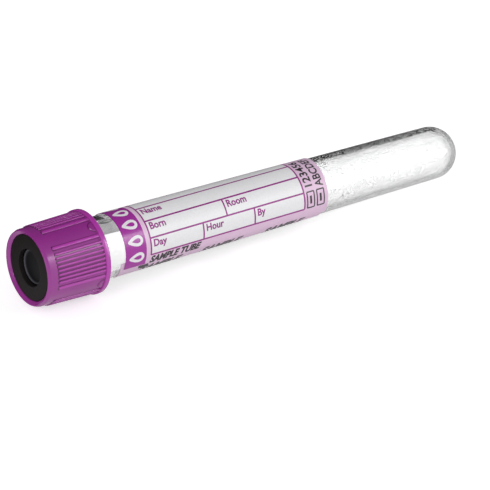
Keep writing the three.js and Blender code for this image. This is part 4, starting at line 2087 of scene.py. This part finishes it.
@dataclass
class Studio:
    """A pale floor in a room that is bright in front, with two softboxes."""

    floor_size: float = 1.5
    floor_shade: float = 0.82
    floor_mottle: float = 0.02
    floor_glow: float = 0.55  # for what looks at the floor, not for what it lights
    clear_glow: float = 0.85  # the same, for what looks through the clear plastic
    mirrored_glow: float = 0.25  # the same, for what is mirrored
    front_level: float = 0.75
    back_level: float = 0.78
    overhead: float = 0.45  # share of the room's light that is left overhead
    dark_wall: float = 0.04  # the wall behind, where it is mirrored
    through_level: float = 0.95  # the least light that is seen straight through the tube
    turn_to_back: tuple[float, float] = (-0.55, 0.35)  # where front turns to back, by Y
    turn_overhead: tuple[float, float] = (0.3, 0.95)  # the same for overhead, by Z
    bright_side: tuple[float, float] = (0.6, 0.85)  # the mirrored right side, by X
    dark_side: tuple[float, float] = (-0.9, -0.5)  # the mirrored left side, by X
    dark_side_loss: float = 0.6
    bounced_glow: tuple[float, float] = (0.56, 0.02)  # near the tube's line and away from it
    bounced_fade: tuple[float, float] = (0.006, 0.02)  # metres from that line
    end_glow: float = 0.8  # the same, beyond the round end
    end_from: tuple[float, float] = (0.058, 0.07)
    end_fade: tuple[float, float] = (0.03, 0.06)
    grazed_from: tuple[float, float] = (0.012, 0.022)  # where the mirrored floor behind is dim
    lamps: tuple[Softbox, ...] = (
        Softbox("right_softbox", 38.0, 22.0, 0.6, (0.14, 0.4), 1.1),
        Softbox("left_softbox", -65.0, 25.0, 0.6, (0.3, 0.35), 1.1),
    )

    @staticmethod
    def bounced_in_wall(sketch: Sketch, light: Any) -> bpy.types.NodeSocket:
        """Tells the light that has bounced inside the clear wall before it looks at the room.

        Args:
            sketch: The tree.
            light: The outputs of its Light Path node.

        Returns:
            A mask of that light.
        """
        crossed = sketch.math("GREATER_THAN", light["Transmission Depth"], 0.5)
        bounced = sketch.math("GREATER_THAN", light["Glossy Depth"], 0.5)
        return sketch.math("MULTIPLY", crossed, bounced)

    def world(self) -> None:
        """Makes the room, which is white where it is seen, also through the clear plastic."""
        world = bpy.data.worlds.new("room")
        world.use_nodes = True
        world.node_tree.nodes.clear()
        sketch = Sketch(world.node_tree)
        where = sketch.node("ShaderNodeTexCoord").outputs["Generated"]
        split = sketch.node("ShaderNodeSeparateXYZ", {0: where}).outputs
        light = sketch.node("ShaderNodeLightPath").outputs
        mirrored = sketch.math("MAXIMUM", light["Is Glossy Ray"], light["Is Transmission Ray"])
        behind = sketch.math("MULTIPLY_ADD", mirrored, self.dark_wall - self.back_level,
                             self.back_level)
        level = sketch.ramp(split["Y"], *self.turn_to_back, self.front_level, behind)
        right = sketch.ramp(split["X"], *self.bright_side, 0.0, self.front_level)
        level = sketch.math("MAXIMUM", level, sketch.math("MULTIPLY", mirrored, right))
        above = sketch.ramp(split["Z"], *self.turn_overhead, 1.0, self.overhead)
        level = sketch.math("MULTIPLY", level, above)
        left = sketch.ramp(split["X"], *self.dark_side, self.dark_side_loss, 0.0)
        kept = sketch.math("SUBTRACT", 1.0, sketch.math("MULTIPLY", mirrored, left))
        level = sketch.math("MULTIPLY", level, kept)
        straight = sketch.math("SUBTRACT", 1.0, self.bounced_in_wall(sketch, light))
        through = sketch.math("MULTIPLY", straight, light["Is Transmission Ray"])
        level = sketch.math("MAXIMUM", level,
                            sketch.math("MULTIPLY", through, self.through_level))
        shade = sketch.node("ShaderNodeCombineColor", {0: level, 1: level, 2: level})
        seen = sketch.mix(light["Is Camera Ray"], shade.outputs[0], (1.0, 1.0, 1.0))
        back = sketch.node("ShaderNodeBackground", {"Color": seen, "Strength": 1.0})
        sketch.node("ShaderNodeOutputWorld", {"Surface": back.outputs[0]})
        bpy.context.scene.world = world

    def floor_material(self) -> bpy.types.Material:
        """Makes the pale floor's material, which glows only for what looks at it.

        Returns:
            The material.
        """
        material, sketch, shader, output = blank_material("Pale floor")
        where = sketch.here()
        grain = sketch.ramp(sketch.noise(where, 60.0), 0.3, 0.7,
                            self.floor_shade - self.floor_mottle, self.floor_shade)
        colour = sketch.node("ShaderNodeCombineColor", {0: grain, 1: grain, 2: grain})
        sketch.fill(shader, {"Base Color": colour.outputs[0], "Roughness": 0.9})
        light = sketch.node("ShaderNodeLightPath").outputs
        level = sketch.math("MULTIPLY", light["Is Camera Ray"], self.floor_glow)
        for ray, glow in (("Is Transmission Ray", self.clear_glow),
                          ("Is Glossy Ray", self.mirrored_glow)):
            level = sketch.math("MAXIMUM", level, sketch.math("MULTIPLY", light[ray], glow))
        glow = sketch.node("ShaderNodeEmission", {
            "Color": (1.0, 1.0, 1.0, 1.0), "Strength": level})
        both = sketch.node("ShaderNodeAddShader", {0: shader.outputs[0], 1: glow.outputs[0]})
        place = sketch.node("ShaderNodeSeparateXYZ", {0: where}).outputs
        aside = sketch.math("ABSOLUTE", place["Y"])
        beside = sketch.ramp(aside, *self.bounced_fade, *self.bounced_glow)
        beyond = sketch.math("MULTIPLY", sketch.ramp(place["X"], *self.end_from, 0.0,
                                                     self.end_glow),
                             sketch.ramp(aside, *self.end_fade, 1.0, 0.0))
        dim = sketch.node("ShaderNodeEmission", {
            "Strength": sketch.math("MAXIMUM", beside, beyond)})
        only = sketch.math("SUBTRACT", light["Is Glossy Ray"], light["Is Transmission Ray"])
        grazed = sketch.math("MULTIPLY", sketch.math("MAXIMUM", only, 0.0),
                             sketch.ramp(place["Y"], *self.grazed_from))
        chosen = sketch.node("ShaderNodeMixShader", {
            0: sketch.math("MAXIMUM", grazed, self.bounced_in_wall(sketch, light)),
            1: both.outputs[0], 2: dim.outputs[0]})
        sketch.feed(output.inputs["Surface"], chosen.outputs[0])
        return material

    def floor(self) -> bpy.types.Object:
        """Makes the floor, a pale sheet that keeps the object's soft shadow.

        Returns:
            The floor, which isn't a piece of the object.
        """
        half = self.floor_size / 2
        corners = np.array([(-half, -half, 0), (half, -half, 0), (half, half, 0),
                            (-half, half, 0)])
        mesh = mesh_of("floor", corners, [(0, 1, 2, 3)])
        mesh.materials.append(self.floor_material())
        floor = bpy.data.objects.new("floor", mesh)
        bpy.context.scene.collection.objects.link(floor)
        return floor

    def build(self) -> None:
        """Makes the whole studio."""
        self.world()
        self.floor()
        for lamp in self.lamps:
            lamp.build()


# ---------------------------------------------------------------- scene


def main() -> None:
    """Builds the object piece by piece, then the studio round it."""
    logging.basicConfig(level=logging.INFO, format="%(message)s")
    bpy.context.scene.view_settings.view_transform = "Standard"
    axis = TubeAxis.from_joint("cap_turn")
    effects = Effects()
    tube = ClearTube()
    pieces = [tube.build(axis), AdditiveDroplets().build(axis, tube)]
    pieces += WrappedLabel().build(axis)
    pieces.append(CapShell().build(axis, effects))
    pieces.append(CapRing().build(axis, effects))
    pieces.append(RubberStopper().build(axis, effects))
    for piece in pieces:
        LOG.info("%s: %d faces", piece.name, len(piece.data.polygons))
    Studio().build()
    Viewpoint().build()


if __name__ == "__main__":
    main()
